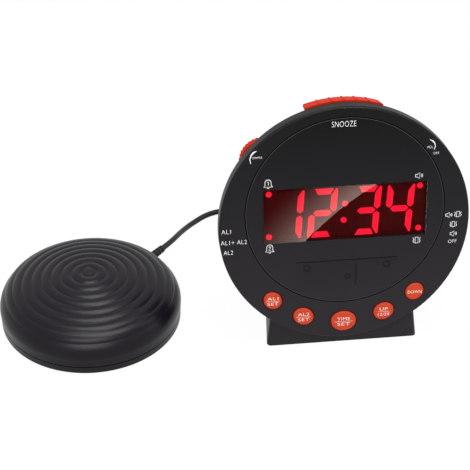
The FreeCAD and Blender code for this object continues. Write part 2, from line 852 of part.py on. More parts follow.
def control_wheel(side):
    """A toothed edge wheel with its shaft."""
    x, y = wheel_place(side)
    points = []
    for k in range(2 * wheel_tooth_count):
        radius = wheel_radius if k % 2 else wheel_radius - wheel_tooth_depth
        a = math.pi * k / wheel_tooth_count
        points.append((radius * math.cos(a), radius * math.sin(a)))
    rear = wheel_front + wheel_thickness
    disc = polygon_prism(points, -rear, -wheel_front)
    shaft = rod(wheel_shaft_radius, -rear - wheel_shaft_length, -rear)
    wheel = disc.fuse(shaft)
    wheel.translate(Vector(x, y, 0))
    return in_head(wheel)


def potentiometer(side):
    """The variable resistor that carries a wheel's shaft, standing on the main board."""
    x, y = wheel_place(side)
    front = wheel_front + wheel_thickness + slot_gap
    body = block(-pot_half_size, pot_half_size, -pot_half_size, pot_half_size, -board_depth, -front)
    body.rotate(Vector(0, 0, 0), Vector(0, 0, 1), side * (90.0 - wheel_angle))
    body.translate(Vector(x, y, 0))
    bore_end = wheel_front + wheel_thickness + wheel_shaft_length + moving_gap
    return in_head(body.cut(rod(wheel_shaft_radius + shaft_gap, -bore_end, -front + overrun, x, y)))


# Side sliders and their switches

def side_slider(side):
    """A slider: the ribbed knob outside the wall and the tongue inside its switch."""
    low, high = sorted((side * slider_knob_inner, side * slider_knob_outer))
    knob = block(low, high, slider_height - slider_knob_half_length, slider_height + slider_knob_half_length,
                 -slider_depth - slider_knob_half_depth, -slider_depth + slider_knob_half_depth)
    ribs = []
    for k in range(knob_rib_count):
        y = slider_height + (k - (knob_rib_count - 1) / 2) * knob_rib_pitch
        ribs.append(rod(knob_rib_radius, -slider_depth - slider_knob_half_depth + seat_gap,
                        -slider_depth + slider_knob_half_depth - seat_gap, side * slider_knob_outer, y))
    low, high = sorted((side * slider_tongue_inner, side * slider_knob_inner))
    tongue = block(low, high, slider_height - slider_tongue_half, slider_height + slider_tongue_half,
                   -slider_depth - slider_tongue_half, -slider_depth + slider_tongue_half)
    return in_head(join([knob, tongue] + ribs))


def slide_switch(side, travel):
    """The body of a slide switch, standing on the main board, with the track of its slider."""
    half = travel / 2 + slider_tongue_half + moving_gap + switch_end_wall
    low, high = sorted((side * switch_inner, side * switch_outer))
    body = block(low, high, slider_height - half, slider_height + half, -board_depth, -switch_front)
    track = half - switch_end_wall
    deep = slider_tongue_half + moving_gap
    low, high = sorted((side * (slider_tongue_inner - moving_gap), side * (switch_outer + overrun)))
    body = body.cut(block(low, high, slider_height - track, slider_height + track, -slider_depth - deep,
                          -slider_depth + deep))
    return in_head(body)


# Main board

board_step = 11.5
board_side_step = 15.0
board_top_step = 17.0
board_radius = face_radius - board_step
board_half_width = face_radius - board_side_step
board_low = -30.0
board_top = face_radius - board_top_step
board_chip_size = 12.0
board_chip_height = 1.8
board_chip_x = -14.0
board_chip_y = 6.0
capacitor_radius = 4.0
capacitor_height = 9.0
capacitor_x = 24.0
capacitor_y = -14.0


def main_board():
    """The main circuit board, with its chip and its large capacitor."""
    low = -board_depth - board_thickness
    board = rod(board_radius, low, -board_depth)
    board = board.common(block(-board_half_width, board_half_width, board_low, board_top, low, -board_depth))
    for x, y in board_post_places():
        board = board.cut(rod(board_screw_radius + seat_gap, low - overrun, overrun - board_depth, x, y))
    half = board_chip_size / 2
    chip = block(board_chip_x - half, board_chip_x + half, board_chip_y - half, board_chip_y + half,
                 -board_depth, -board_depth + board_chip_height)
    capacitor = rod(capacitor_radius, -board_depth, -board_depth + capacitor_height, capacitor_x, capacitor_y)
    return in_head(join([board, chip, capacitor]))


def pan_screw(head_radius, head_height, shank_radius, shank_length):
    """A screw along +Z, its head below zero and its shank above."""
    return rod(head_radius, -head_height, 0).fuse(rod(shank_radius, 0, shank_length)).removeSplitter()


def board_screws():
    """The four screws of the main board, entered from its front."""
    solids = []
    for x, y in board_post_places():
        screw = pan_screw(board_screw_head_radius, board_screw_head_height, board_screw_radius, board_screw_length)
        screw.rotate(Vector(0, 0, 0), Vector(1, 0, 0), 180)
        screw.translate(Vector(x, y, -board_depth))
        solids.append(in_head(screw))
    return group(solids)


def casing_screws():
    """The four screws that draw the rear casing to the front bezel, entered from the back."""
    solids = []
    for x, y, front_end, rear_start, seat in casing_screw_places():
        length = seat - front_end + screw_bite
        screw = pan_screw(casing_screw_head_radius, casing_screw_head_height, casing_screw_radius, length)
        screw.translate(Vector(x, y, -seat))
        solids.append(in_head(screw))
    return group(solids)


# Loudspeaker, behind the grille

speaker_radius = 28.0
speaker_flange_thickness = 1.2
speaker_basket_depth = 9.0
magnet_radius = 14.0
magnet_front = 23.4
cone_outer_radius = 24.6
cone_inner_radius = 7.0
cone_depth = 7.0
cone_thickness = 0.8
surround_width = 2.0


def speaker_frame():
    """The loudspeaker's basket, seated on the inside of the back wall."""
    back = -head_depth + wall
    waist = back + speaker_basket_depth
    flange_front = back + speaker_flange_thickness
    inner = speaker_radius - 2 * surround_width
    profile = [(inner, back), (speaker_radius, back), (speaker_radius, flange_front),
               (speaker_radius - surround_width, flange_front), (magnet_radius, waist),
               (cone_inner_radius, waist), (cone_inner_radius, waist - speaker_flange_thickness),
               (magnet_radius - surround_width, waist - speaker_flange_thickness), (inner, flange_front)]
    frame = turned_polygon(profile)
    frame.translate(Vector(0, grille_rise, 0))
    return in_head(frame)


def speaker_magnet():
    """The loudspeaker's magnet."""
    waist = -head_depth + wall + speaker_basket_depth
    return in_head(rod(magnet_radius, waist, -magnet_front, 0, grille_rise))


def speaker_cone():
    """The loudspeaker's cone, with its domed cap and the rim that is glued to the basket."""
    back = -head_depth + wall + speaker_flange_thickness
    inner = speaker_radius - 2 * surround_width
    deep = back + cone_depth - cone_thickness
    outer = inner - fit_gap
    profile = [(0, deep - cone_thickness), (cone_inner_radius, deep - cone_thickness),
               (outer, back - cone_thickness), (outer, back), (cone_inner_radius, deep), (0, deep)]
    cone = turned_polygon(profile)
    cone.translate(Vector(0, grille_rise, 0))
    return in_head(cone)


# Sockets at the back of the foot

def jack(side, bore_radius, bore_length):
    """A socket: its body inside the foot and its round nose through the rear wall."""
    x = side * jack_x
    body = block(x - jack_body_half_width, x + jack_body_half_width, jack_body_front, jack_nose_front,
                 jack_z - jack_body_half_height, jack_z + jack_body_half_height)
    body = body.fuse(bar_along_y(jack_nose_radius, jack_nose_front, jack_face, x, jack_z))
    return body.cut(bar_along_y(bore_radius, jack_face - bore_length, jack_face + overrun, x, jack_z))


# Foot: bottom plate, feet, battery and its door

pad_radius = 5.0
pad_thickness = 1.0
pad_front_inset_x = 18.5
pad_front_inset_y = 8.0
pad_rear_inset_x = 5.5
pad_rear_inset_y = 23.0
pad_front_x = base_width / 2 - pad_front_inset_x
pad_front_y = -base_depth / 2 + pad_front_inset_y
pad_rear_x = base_rear_width / 2 - pad_rear_inset_x
pad_rear_y = base_depth / 2 - pad_rear_inset_y
battery_length = 46.4
battery_depth = 26.4
battery_thickness = 17.4
battery_stud_length = 2.2
battery_stud_radius = 2.9
battery_stud_offset = 6.6
battery_edge_rounding = 1.5
battery_low = 2.7
bay_wall = 1.6
bay_left = -25.6
bay_right = 25.6
bay_front = -13.9
bay_rear = 13.4
bay_top = 20.6
contact_thickness = 0.8
contact_half_size = 5.8
grip_rib_count = 3
grip_rib_pitch = 2.2
grip_rib_width = 0.8
grip_rib_depth = 0.4
grip_half_width = 9.0


def foot_plate_outline(low, high):
    """The foot's inner outline, less a gap, between two heights."""
    return foot(wall + fit_gap, low, high)


def pad_places():
    """The four rubber pads."""
    front = [(side * pad_front_x, pad_front_y) for side in (-1, 1)]
    return front + [(side * pad_rear_x, pad_rear_y) for side in (-1, 1)]


def base_plate():
    """The bottom plate of the foot, with the battery's bay, the door's track and the pads' recesses."""
    body = foot_plate_outline(0, plate_thickness)
    body = body.fuse(block(bay_left - bay_wall, bay_right + bay_wall, bay_front - bay_wall, bay_rear + bay_wall,
                           0, bay_top + bay_wall))
    body = body.cut(block(bay_left, bay_right, bay_front, bay_rear, -overrun, bay_top))
    room = door_half_width + door_gap
    body = body.cut(block(-room, room, door_front - door_gap, base_depth, -overrun,
                          door_lift + door_thickness + door_gap))
    track = room + door_tongue
    body = body.cut(block(-track, track, door_front - door_gap, base_depth, door_tongue_low - door_gap + door_lift,
                          door_tongue_high + door_gap + door_lift))
    for x, y in plate_screw_places():
        body = body.cut(rod(plate_recess_radius, -overrun, plate_recess_depth, x, y))
        body = body.cut(rod(plate_screw_radius + fit_gap, -overrun, plate_thickness + overrun, x, y))
    for x, y in pad_places():
        body = body.cut(rod(pad_radius + seat_gap, -overrun, pad_thickness, x, y))
    return body.removeSplitter()


def rubber_pads():
    """Four rubber pads set flush in the underside."""
    return group([rod(pad_radius, 0, pad_thickness, x, y) for x, y in pad_places()])


def plate_screws():
    """The four screws of the bottom plate, heads sunk in their recesses."""
    solids = []
    for x, y in plate_screw_places():
        screw = pan_screw(plate_screw_head_radius, plate_screw_head_height, plate_screw_radius,
                          plate_screw_top - plate_recess_depth)
        screw.translate(Vector(x, y, plate_recess_depth))
        solids.append(screw)
    return group(solids)


def battery_door():
    """The door of the battery's bay, which slides out to the rear on two side tongues."""
    low = door_lift
    high = door_lift + door_thickness
    rear = base_depth / 2 - wall / 2
    body = block(-door_half_width, door_half_width, door_front, rear, low, high)
    reach = door_half_width + door_tongue
    wall_lean = base_rear_lean * (door_tongue_high + door_lift) / base_height
    tongue_rear = base_depth / 2 - wall - wall_lean - door_gap - door_travel
    body = body.fuse(block(-reach, reach, door_front, tongue_rear, door_tongue_low + door_lift,
                           door_tongue_high + door_lift))
    for k in range(grip_rib_count):
        y = rear - grip_rib_pitch * (k + 1)
        body = body.cut(block(-grip_half_width, grip_half_width, y - grip_rib_width / 2, y + grip_rib_width / 2,
                              low - overrun, low + grip_rib_depth))
    return body.removeSplitter()


def backup_battery():
    """The small block battery, with its two studs."""
    left = bay_left + fit_gap
    middle = (bay_front + bay_rear) / 2
    body = block(left, left + battery_length, middle - battery_depth / 2, middle + battery_depth / 2,
                 battery_low, battery_low + battery_thickness)
    long_edges = [e for e in body.Edges if e.BoundBox.XLength > battery_length - overrun]
    body = body.makeFillet(battery_edge_rounding, long_edges)
    z = battery_low + battery_thickness / 2
    studs = []
    for side in (-1, 1):
        studs.append(Part.makeCylinder(battery_stud_radius, battery_stud_length,
                                       Vector(left + battery_length, middle + side * battery_stud_offset, z),
                                       Vector(1, 0, 0)))
    return join([body] + studs)


def battery_contacts():
    """The two snap contacts on the end wall of the bay."""
    left = bay_left + fit_gap + battery_length + battery_stud_length
    middle = (bay_front + bay_rear) / 2
    z = battery_low + battery_thickness / 2
    solids = []
    for side in (-1, 1):
        y = middle + side * battery_stud_offset
        half = contact_half_size
        solids.append(block(left, left + contact_thickness, y - half, y + half, z - half, z + half))
    carrier = block(left + contact_thickness, bay_right, middle - battery_depth / 2, middle + battery_depth / 2,
                    battery_low, battery_low + battery_thickness)
    return group(solids + [carrier])


# Bed shaker

base_edge_step = 0.3
floor_step = 1.5
base_edge_bulge = 0.25
seam_inset = 0.2
crown_rise = 0.19
shaker_base_edge_radius = shaker_radius - base_edge_step
shaker_base_edge_height = 1.2
shaker_floor_radius = shaker_radius - floor_step
ripple_first_share = 0.08044
ripple_pitch_share = 0.11335
ripple_first = ripple_first_share * shaker_radius
ripple_pitch = ripple_pitch_share * shaker_radius
ripple_count = 9
ripple_rise = 0.75
shoulder_rise = 0.4
seam_groove = 0.8
seam_groove_height = 0.6
lip_height = 2.6
lip_thickness = 1.4
post_circle_step = 16.7
shaker_post_circle = shaker_radius - post_circle_step
shaker_post_angle = 45.0
shaker_post_count = 4
shaker_post_radius = 3.8
post_split_rise = 3.0
shaker_post_split = shaker_seam_height + post_split_rise
shaker_recess_radius = 3.0
shaker_recess_depth = 5.0
shaker_screw_radius = 1.3
shaker_screw_head_radius = 2.6
shaker_screw_head_height = 1.6
shaker_screw_length = 9.0
motor_radius_share = 0.2011
motor_length_share = 0.457
motor_left_share = 0.256
motor_height_share = 0.2925
weight_radius_share = 0.1645
weight_thickness_share = 0.128
clamp_half_share = 0.2742
motor_radius = motor_radius_share * shaker_radius
motor_length = motor_length_share * shaker_radius
motor_left = -motor_left_share * shaker_radius
motor_height = motor_height_share * shaker_radius
motor_shaft_radius = 1.0
motor_bore_depth = 4.0
weight_radius = weight_radius_share * shaker_radius
weight_thickness = weight_thickness_share * shaker_radius
weight_gap = 1.2
weight_hub_radius = 2.6
clamp_thickness = 2.0
clamp_length = 9.0
clamp_half_width = clamp_half_share * shaker_radius
boot_angle = 47.2
boot_lift = 4.2
boot_height = shaker_seam_height + boot_lift
boot_root_step = 3.3
boot_reach = 14.8
boot_root_radius = shaker_radius - boot_root_step
boot_end_radius = shaker_radius + boot_reach
boot_hole_gap = 0.1
boot_near_radius = 2.8
boot_far_radius = 2.3
boot_flange_radius = 3.6
boot_flange_thickness = 1.0
boot_ring_count = 4
boot_ring_pitch = 2.9
boot_ring_width = 1.1
boot_ring_depth = 0.45


def shaker_curve(length):
    """A point (radius, height) of the shaker's upper profile and its outward normal, by length along it."""
    join_angle = math.asin((shaker_radius - shaker_shoulder_radius) / (shaker_dome_radius - shaker_shoulder_radius))
    dome_length = shaker_dome_radius * join_angle
    if length <= dome_length:
        a = length / shaker_dome_radius
        radius = shaker_dome_radius * math.sin(a)
        height = shaker_height - shaker_dome_radius * (1 - math.cos(a))
    else:
        a = join_angle + (length - dome_length) / shaker_shoulder_radius
        centre_radius = shaker_radius - shaker_shoulder_radius
        centre_height = shoulder_centre_height()
        radius = centre_radius + shaker_shoulder_radius * math.sin(a)
        height = centre_height + shaker_shoulder_radius * math.cos(a)
    return radius, height, math.sin(a), math.cos(a)


def shoulder_centre_height():
    """The height at which the shaker is widest."""
    share = (shaker_radius - shaker_shoulder_radius) / (shaker_dome_radius - shaker_shoulder_radius)
    drop = (shaker_dome_radius - shaker_shoulder_radius) * math.cos(math.asin(share))
    return shaker_height - shaker_dome_radius + drop


def bulged(a, b, rise):
    """An arc between two (radius, height) points that rises outwards from the chord."""
    dx = b[0] - a[0]
    dz = b[1] - a[1]
    span = math.hypot(dx, dz)
    middle = ((a[0] + b[0]) / 2 - dz / span * rise, (a[1] + b[1]) / 2 + dx / span * rise)
    return arc(a, middle, b)


def place_shaker(shape):
    """Moves a shape from the shaker's own frame to its place beside the clock."""
    shape = shape.copy()
    shape.translate(Vector(shaker_x, shaker_y, 0))
    return shape


def shaker_posts(radius, low, high):
    """Rods at the shaker's four screws."""
    rods = []
    for k in range(shaker_post_count):
        a = math.radians(shaker_post_angle + 360.0 * k / shaker_post_count)
        rods.append(rod(radius, low, high, shaker_post_circle * math.cos(a), shaker_post_circle * math.sin(a)))
    return rods


def shaker_top_outer():
    """The outside of the top shell: a dome of ripples that ends in a smooth shoulder."""
    valleys = [shaker_curve(ripple_first + k * ripple_pitch)[:2] for k in range(ripple_count)]
    crown = (0, shaker_height)
    crown_side = (ripple_first / 2, (shaker_height + valleys[0][1]) / 2 + crown_rise)
    edges = [arc(crown, crown_side, valleys[0])]
    for k in range(ripple_count - 1):
        edges.append(bulged(valleys[k], valleys[k + 1], ripple_rise))
    widest = (shaker_radius, shoulder_centre_height())
    half_chord = math.hypot(widest[0] - valleys[-1][0], widest[1] - valleys[-1][1]) / 2
    sagitta = shaker_shoulder_radius * (1 - math.cos(math.asin(half_chord / shaker_shoulder_radius)))
    edges.append(bulged(valleys[-1], widest, sagitta + shoulder_rise))
    edges.append(line(widest, (shaker_radius - seam_inset, shaker_seam_height)))
    edges.append(line((shaker_radius - seam_inset, shaker_seam_height), (0, shaker_seam_height)))
    edges.append(line((0, shaker_seam_height), crown))
    return turned(edges)


def shaker_top_inner():
    """The hollow of the top shell, which follows the dome without its ripples."""
    join_angle = math.asin((shaker_radius - shaker_shoulder_radius) / (shaker_dome_radius - shaker_shoulder_radius))
    dome = shaker_dome_radius - shaker_wall
    shoulder = shaker_shoulder_radius - shaker_wall
    centre = (shaker_radius - shaker_shoulder_radius, shoulder_centre_height())
    top = shaker_height - shaker_wall
    joint = (centre[0] + shoulder * math.sin(join_angle), centre[1] + shoulder * math.cos(join_angle))
    half = join_angle / 2
    dome_middle = (dome * math.sin(half), top - dome * (1 - math.cos(half)))
    widest = (centre[0] + shoulder, centre[1])
    half = (join_angle + math.pi / 2) / 2
    shoulder_middle = (centre[0] + shoulder * math.sin(half), centre[1] + shoulder * math.cos(half))
    low = shaker_seam_height - overrun
    edges = [arc((0, top), dome_middle, joint), arc(joint, shoulder_middle, widest), line(widest, (widest[0], low)),
             line((widest[0], low), (0, low)), line((0, low), (0, top))]
    return turned(edges)


def seam_ring():
    """The groove between the two shells."""
    low = shaker_seam_height - seam_groove_height / 2
    high = shaker_seam_height + seam_groove_height / 2
    inner = shaker_radius - seam_groove
    outer = shaker_radius + overrun
    return turned_polygon([(inner, low), (outer, low), (outer, high), (inner, high)])


def boot_axis_rod(radius, start, end):
    """A round bar along the axis of the lead's boot, between two distances from the shaker's middle."""
    a = math.radians(boot_angle)
    axis = Vector(math.cos(a), math.sin(a), 0)
    return Part.makeCylinder(radius, end - start, axis * start + Vector(0, 0, boot_height), axis)


def shaker_top_shell():
    """The rippled top shell, with its four screw posts."""
    outer = shaker_top_outer()
    body = outer.cut(shaker_top_inner())
    body = body.cut(seam_ring())
    for post in shaker_posts(shaker_post_radius, shaker_post_split, shaker_height):
        body = body.fuse(post.common(outer))
    depth = shaker_post_split + shaker_screw_length
    for hole in shaker_posts(shaker_screw_radius + seat_gap, 0, depth):
        body = body.cut(hole)
    body = body.cut(boot_axis_rod(boot_near_radius + boot_hole_gap, boot_root_radius, boot_end_radius))
    return place_shaker(body.removeSplitter())


def shaker_bottom_shell():
    """The shallow bottom shell, with the lip that enters the top shell."""
    seam = shaker_seam_height
    edge = (shaker_base_edge_radius, shaker_base_edge_height)
    inner = shaker_radius - shaker_wall - fit_gap
    profile = [line((0, 0), (shaker_floor_radius, 0)),
               bulged(edge, (shaker_floor_radius, 0), base_edge_bulge),
               line(edge, (shaker_radius - seam_inset, seam)),
               line((shaker_radius - seam_inset, seam), (inner, seam)),
               line((inner, seam), (inner, seam + lip_height)),
               line((inner, seam + lip_height), (inner - lip_thickness, seam + lip_height)),
               line((inner - lip_thickness, seam + lip_height), (inner - lip_thickness, shaker_wall)),
               line((inner - lip_thickness, shaker_wall), (0, shaker_wall)),
               line((0, shaker_wall), (0, 0))]
    body = turned(profile).cut(seam_ring())
    for post in shaker_posts(shaker_post_radius, shaker_wall / 2, shaker_post_split):
        body = body.fuse(post)
    for hole in shaker_posts(shaker_recess_radius, -overrun, shaker_recess_depth):
        body = body.cut(hole)
    for hole in shaker_posts(shaker_screw_radius + fit_gap, 0, shaker_post_split + overrun):
        body = body.cut(hole)
    body = body.cut(boot_axis_rod(boot_flange_radius + fit_gap, boot_root_radius - 2 * overrun, boot_end_radius))
    return place_shaker(body.removeSplitter())


def shaker_screws():
    """The four screws that hold the shaker's shells together."""
    solids = []
    for k in range(shaker_post_count):
        a = math.radians(shaker_post_angle + 360.0 * k / shaker_post_count)
        length = shaker_post_split - shaker_recess_depth + shaker_screw_length - seat_gap
        screw = pan_screw(shaker_screw_head_radius, shaker_screw_head_height, shaker_screw_radius, length)
        screw.translate(Vector(shaker_post_circle * math.cos(a), shaker_post_circle * math.sin(a),
                               shaker_recess_depth))
        solids.append(place_shaker(screw))
    return group(solids)


def shaker_motor():
    """The shaker's motor, lying along X."""
    x_axis = Vector(1, 0, 0)
    body = Part.makeCylinder(motor_radius, motor_length, Vector(motor_left, 0, motor_height), x_axis)
    end = motor_left + motor_length
    bore = Part.makeCylinder(motor_shaft_radius + shaft_gap, motor_bore_depth + overrun,
                             Vector(end - motor_bore_depth, 0, motor_height), x_axis)
    return place_shaker(body.cut(bore))


def motor_cradle():
    """The saddle that carries the motor on the shaker's floor."""
    middle = motor_left + motor_length / 2
    body = block(middle - clamp_length / 2, middle + clamp_length / 2, -clamp_half_width, clamp_half_width,
                 shaker_wall, motor_height)
    groove = Part.makeCylinder(motor_radius + seat_gap, motor_length, Vector(motor_left, 0, motor_height),
                               Vector(1, 0, 0))
    return place_shaker(body.cut(groove))


def motor_strap():
    """The strap over the motor."""
    middle = motor_left + motor_length / 2
    start = Vector(middle - clamp_length / 2, 0, motor_height)
    x_axis = Vector(1, 0, 0)
    outer = Part.makeCylinder(motor_radius + seat_gap + clamp_thickness, clamp_length, start, x_axis)
    inner = Part.makeCylinder(motor_radius + seat_gap, clamp_length, start, x_axis)
    top = block(start.x, start.x + clamp_length, -clamp_half_width, clamp_half_width, motor_height,
                motor_height + motor_radius + seat_gap + clamp_thickness)
    ears = block(start.x, start.x + clamp_length, -clamp_half_width, clamp_half_width, motor_height,
                 motor_height + clamp_thickness)
    return place_shaker(outer.common(top).fuse(ears).cut(inner).removeSplitter())


def eccentric_weight():
    """The off-centre weight and the motor's shaft that carries it."""
    x_axis = Vector(1, 0, 0)
    end = motor_left + motor_length
    left = end + weight_gap
    disc = Part.makeCylinder(weight_radius, weight_thickness, Vector(left, 0, motor_height), x_axis, 180)
    disc.rotate(Vector(0, 0, motor_height), x_axis, 90)
    hub = Part.makeCylinder(weight_hub_radius, weight_thickness, Vector(left, 0, motor_height), x_axis)
    shaft = Part.makeCylinder(motor_shaft_radius, motor_bore_depth + weight_gap + weight_thickness - moving_gap,
                              Vector(end - motor_bore_depth + moving_gap, 0, motor_height), x_axis)
    return place_shaker(join([disc, hub, shaft]))


def boot_frame(shape):
    """Moves a shape from an upright axis to the boot's axis."""
    a = math.radians(boot_angle)
    axis = Vector(math.cos(a), math.sin(a), 0)
    shape = shape.copy()
    shape.Placement = Placement(Vector(shaker_x, shaker_y, boot_height), Rotation(Vector(0, 0, 1), axis))
    return shape


def shaker_boot():
    """The ribbed strain relief of the lead, held in the top shell's wall by a flange."""
    start = boot_root_radius
    end = boot_end_radius
    neck_end = shaker_radius + boot_hole_gap
    profile = [(0, start - boot_flange_thickness), (boot_flange_radius, start - boot_flange_thickness),
               (boot_flange_radius, start), (boot_near_radius, start), (boot_near_radius, neck_end),
               (boot_far_radius, end), (0, end)]
    body = turned_polygon(profile)
    for k in range(boot_ring_count):
        low = end - boot_ring_pitch * (k + 1)
        high = low + boot_ring_width
        body = body.cut(turned_polygon([(boot_far_radius - boot_ring_depth + k * seat_gap, low),
                                        (boot_near_radius + overrun, low), (boot_near_radius + overrun, high),
                                        (boot_far_radius - boot_ring_depth + k * seat_gap, high)]))
    return boot_frame(body)


# Lead of the shaker

plug_tip_radius = 1.75
plug_tip_length = 9.4
plug_grip_radius = 4.2
plug_grip_length = 14.6
plug_tail_radius = 2.6
plug_tail_root_radius = 3.1
plug_edge_rounding = 0.5
plug_tail_length = 7.0
lead_end_straight = 3.6
arc_share = 0.45
boot_run = 9.5


def route_tube(points):
    """A tube along straight runs joined by tangent arcs, each as large as its two runs allow."""
    edges = []
    radii = []
    here = points[0]
    for i in range(1, len(points) - 1):
        corner = points[i]
        back = points[i - 1] - corner
        ahead = points[i + 1] - corner
        reach = arc_share * min(back.Length, ahead.Length)
        half_turn = (math.pi - back.getAngle(ahead)) / 2
        radius = reach / math.tan(half_turn)
        radii.append(round(radius, 1))
        start = corner + back.normalize() * reach
        end = corner + ahead.normalize() * reach
        inwards = (back + ahead).normalize()
        middle = corner + inwards * (radius / math.cos(half_turn) - radius)
        edges.append(Part.LineSegment(here, start).toShape())
        edges.append(Part.Arc(start, middle, end).toShape())
        here = end
    edges.append(Part.LineSegment(here, points[-1]).toShape())
    path = Part.Wire(edges)
    ring = Part.Wire(Part.Circle(points[0], points[1] - points[0], lead_radius).toShape())
    tube = path.makePipeShell([ring], True, False)
    section = math.pi * lead_radius ** 2
    print("bend radii", radii, "length", round(path.Length, 1), "volume share",
          round(tube.Volume / (section * path.Length), 4))
    return tube


def coil_centre():
    """The middle of the coil: its last turn ends above the shaker's socket."""
    end_radius = coil_inner_radius + coil_pitch * (turns_per_layer + last_layer_extra_turns)
    return Vector(jack_x - end_radius, coil_centre_y, lead_radius)


def coil_turns():
    """The number of turns that the coil is wound."""
    return layer_count * turns_per_layer + last_layer_extra_turns


def eased(distance):
    """A distance in turns whose corner at zero is rounded over a quarter turn each way."""
    quarter = 0.25
    return distance if distance >= quarter else 2 * distance * distance + quarter / 2


def coil_point(turn):
    """A point of the wound lead: layers that spiral in and out, and climb where the spiral reverses."""
    layer = turns_per_layer
    phase = turn % (2 * layer)
    inward = abs(phase - layer)
    if turn > (layer_count - 1) * layer:
        inward = turn - (layer_count - 1) * layer
    near_outer_reversal = abs(turn - 2 * layer) < layer / 2
    spread = layer - eased(layer - inward) if near_outer_reversal else eased(inward)
    height = 0.0
    for k in range(1, layer_count):
        rise = min(max((turn - k * layer) * 2 + 0.5, 0.0), 1.0)
        height += coil_layer_height * rise * rise * (3 - 2 * rise)
    radius = coil_inner_radius + coil_pitch * spread
    a = math.pi / 2 - 2 * math.pi * turn
    return coil_centre() + Vector(radius * math.cos(a), radius * math.sin(a), height)


def coil_direction(turn):
    """The direction of the wound lead at a point of it."""
    small_share = 1e-4
    low = max(turn - small_share, 0.0)
    high = min(turn + small_share, coil_turns())
    return (coil_point(high) - coil_point(low)).normalize()


def biarc(start, start_direction, end, end_direction):
    """Two tangent arcs from one point and direction to another."""
    chord = end - start
    both = start_direction + end_direction
    a = 2 * (1 - start_direction.dot(end_direction))
    b = 2 * chord.dot(both)
    reach = (-b + math.sqrt(b * b + 4 * a * chord.dot(chord))) / (2 * a)
    joint = (start + start_direction * reach + end - end_direction * reach) * 0.5
    pieces = []
    for p, direction, q in ((start, start_direction, joint), (joint, None, end)):
        if direction is None:
            corner = end - end_direction * reach
        else:
            corner = start + direction * reach
        middle_of_chord = (p + q) * 0.5
        rise = corner - middle_of_chord
        half_chord = (q - p).Length / 2
        angle = math.atan2(rise.Length, half_chord)
        sagitta = half_chord * math.tan(angle / 2)
        pieces.append(Part.Arc(p, middle_of_chord + rise.normalize() * sagitta, q).toShape())
    return pieces


def coil_path():
    """The whole path of the coil: a straight end, a biarc in each quarter turn and a straight end."""
    quarters = round(4 * coil_turns())
    turns = [k / 4 for k in range(quarters + 1)]
    first = coil_point(0)
    last = coil_point(coil_turns())
    edges = [Part.LineSegment(first - level(coil_direction(0)) * lead_end_straight, first).toShape()]
    for low, high in zip(turns, turns[1:]):
        start_direction = level(coil_direction(low)) if low == 0 else coil_direction(low)
        end_direction = level(coil_direction(high)) if high == turns[-1] else coil_direction(high)
        edges += biarc(coil_point(low), start_direction, coil_point(high), end_direction)
    edges.append(Part.LineSegment(last, last + level(coil_direction(coil_turns())) * lead_end_straight).toShape())
    return edges


def level(direction):
    """The direction squared up to the nearest of the X and Y axes, as at the coil's two ends."""
    if abs(direction.x) > abs(direction.y):
        return Vector(math.copysign(1, direction.x), 0, 0)
    return Vector(0, math.copysign(1, direction.y), 0)


def coil_start():
    """Where the lead enters the coil."""
    return coil_point(0) - level(coil_direction(0)) * lead_end_straight


def coil_end():
    """Where the lead leaves the coil."""
    return coil_point(coil_turns()) + level(coil_direction(coil_turns())) * lead_end_straight


def least_gap(edges):
    """The least gap between turns of the coil, measured on points along its path."""
    points = []
    for edge in edges:
        steps = max(int(edge.Length / lead_radius), 1)
        span = edge.LastParameter - edge.FirstParameter
        for k in range(steps):
            points.append(edge.valueAt(edge.FirstParameter + span * k / steps))
    apart = round(2 * math.pi * coil_inner_radius / lead_radius / 2)
    least = min((points[i] - points[j]).Length for i in range(len(points)) for j in range(i + apart, len(points)))
    return least - 2 * lead_radius


def shaker_lead_coil():
    """The wound part of the lead."""
    edges = coil_path()
    path = Part.Wire(edges)
    ring = Part.Wire(Part.Circle(coil_start(), level(coil_direction(0)), lead_radius).toShape())
    tube = path.makePipeShell([ring], True, False)
    print("coil length", round(path.Length, 1), "least gap", round(least_gap(edges), 3), "volume share",
          round(tube.Volume / (math.pi * lead_radius ** 2 * path.Length), 4), "valid", tube.isValid())
    return tube


def boot_end():
    """The end of the boot and the direction in which the lead leaves it."""
    a = math.radians(boot_angle)
    axis = Vector(math.cos(a), math.sin(a), 0)
    return Vector(shaker_x, shaker_y, boot_height) + axis * boot_end_radius, axis


# Hand-chosen steps of the free lead: from the boot's end, and back from the start of the coil
steps_from_boot = [(13.4, 22.0, 5.2), (21.6, 35.4, lead_radius)]
steps_from_coil = [(-54.6, -3.4, lead_radius), (-38.4, -1.2, lead_radius)]
front_last_run = 19.0
rear_first_run = 9.5
rear_last_run = 9.5


def shaker_lead_front():
    """The free lead from the boot down to the table and round to the coil."""
    start, axis = boot_end()
    end = coil_start()
    points = [start, start + axis * boot_run]
    points += [Vector(start.x + x, start.y + y, z) for x, y, z in steps_from_boot]
    points += [Vector(end.x + x, end.y + y, z) for x, y, z in steps_from_coil]
    points += [end - level(coil_direction(0)) * front_last_run, end]
    return route_tube(points)


def shaker_lead_rear():
    """The short free lead from the coil to the plug."""
    start = coil_end()
    end = Vector(jack_x, jack_face + plug_grip_length + plug_tail_length, jack_z)
    points = [start, start - Vector(0, rear_first_run, 0), end + Vector(0, rear_last_run, 0), end]
    return route_tube(points)


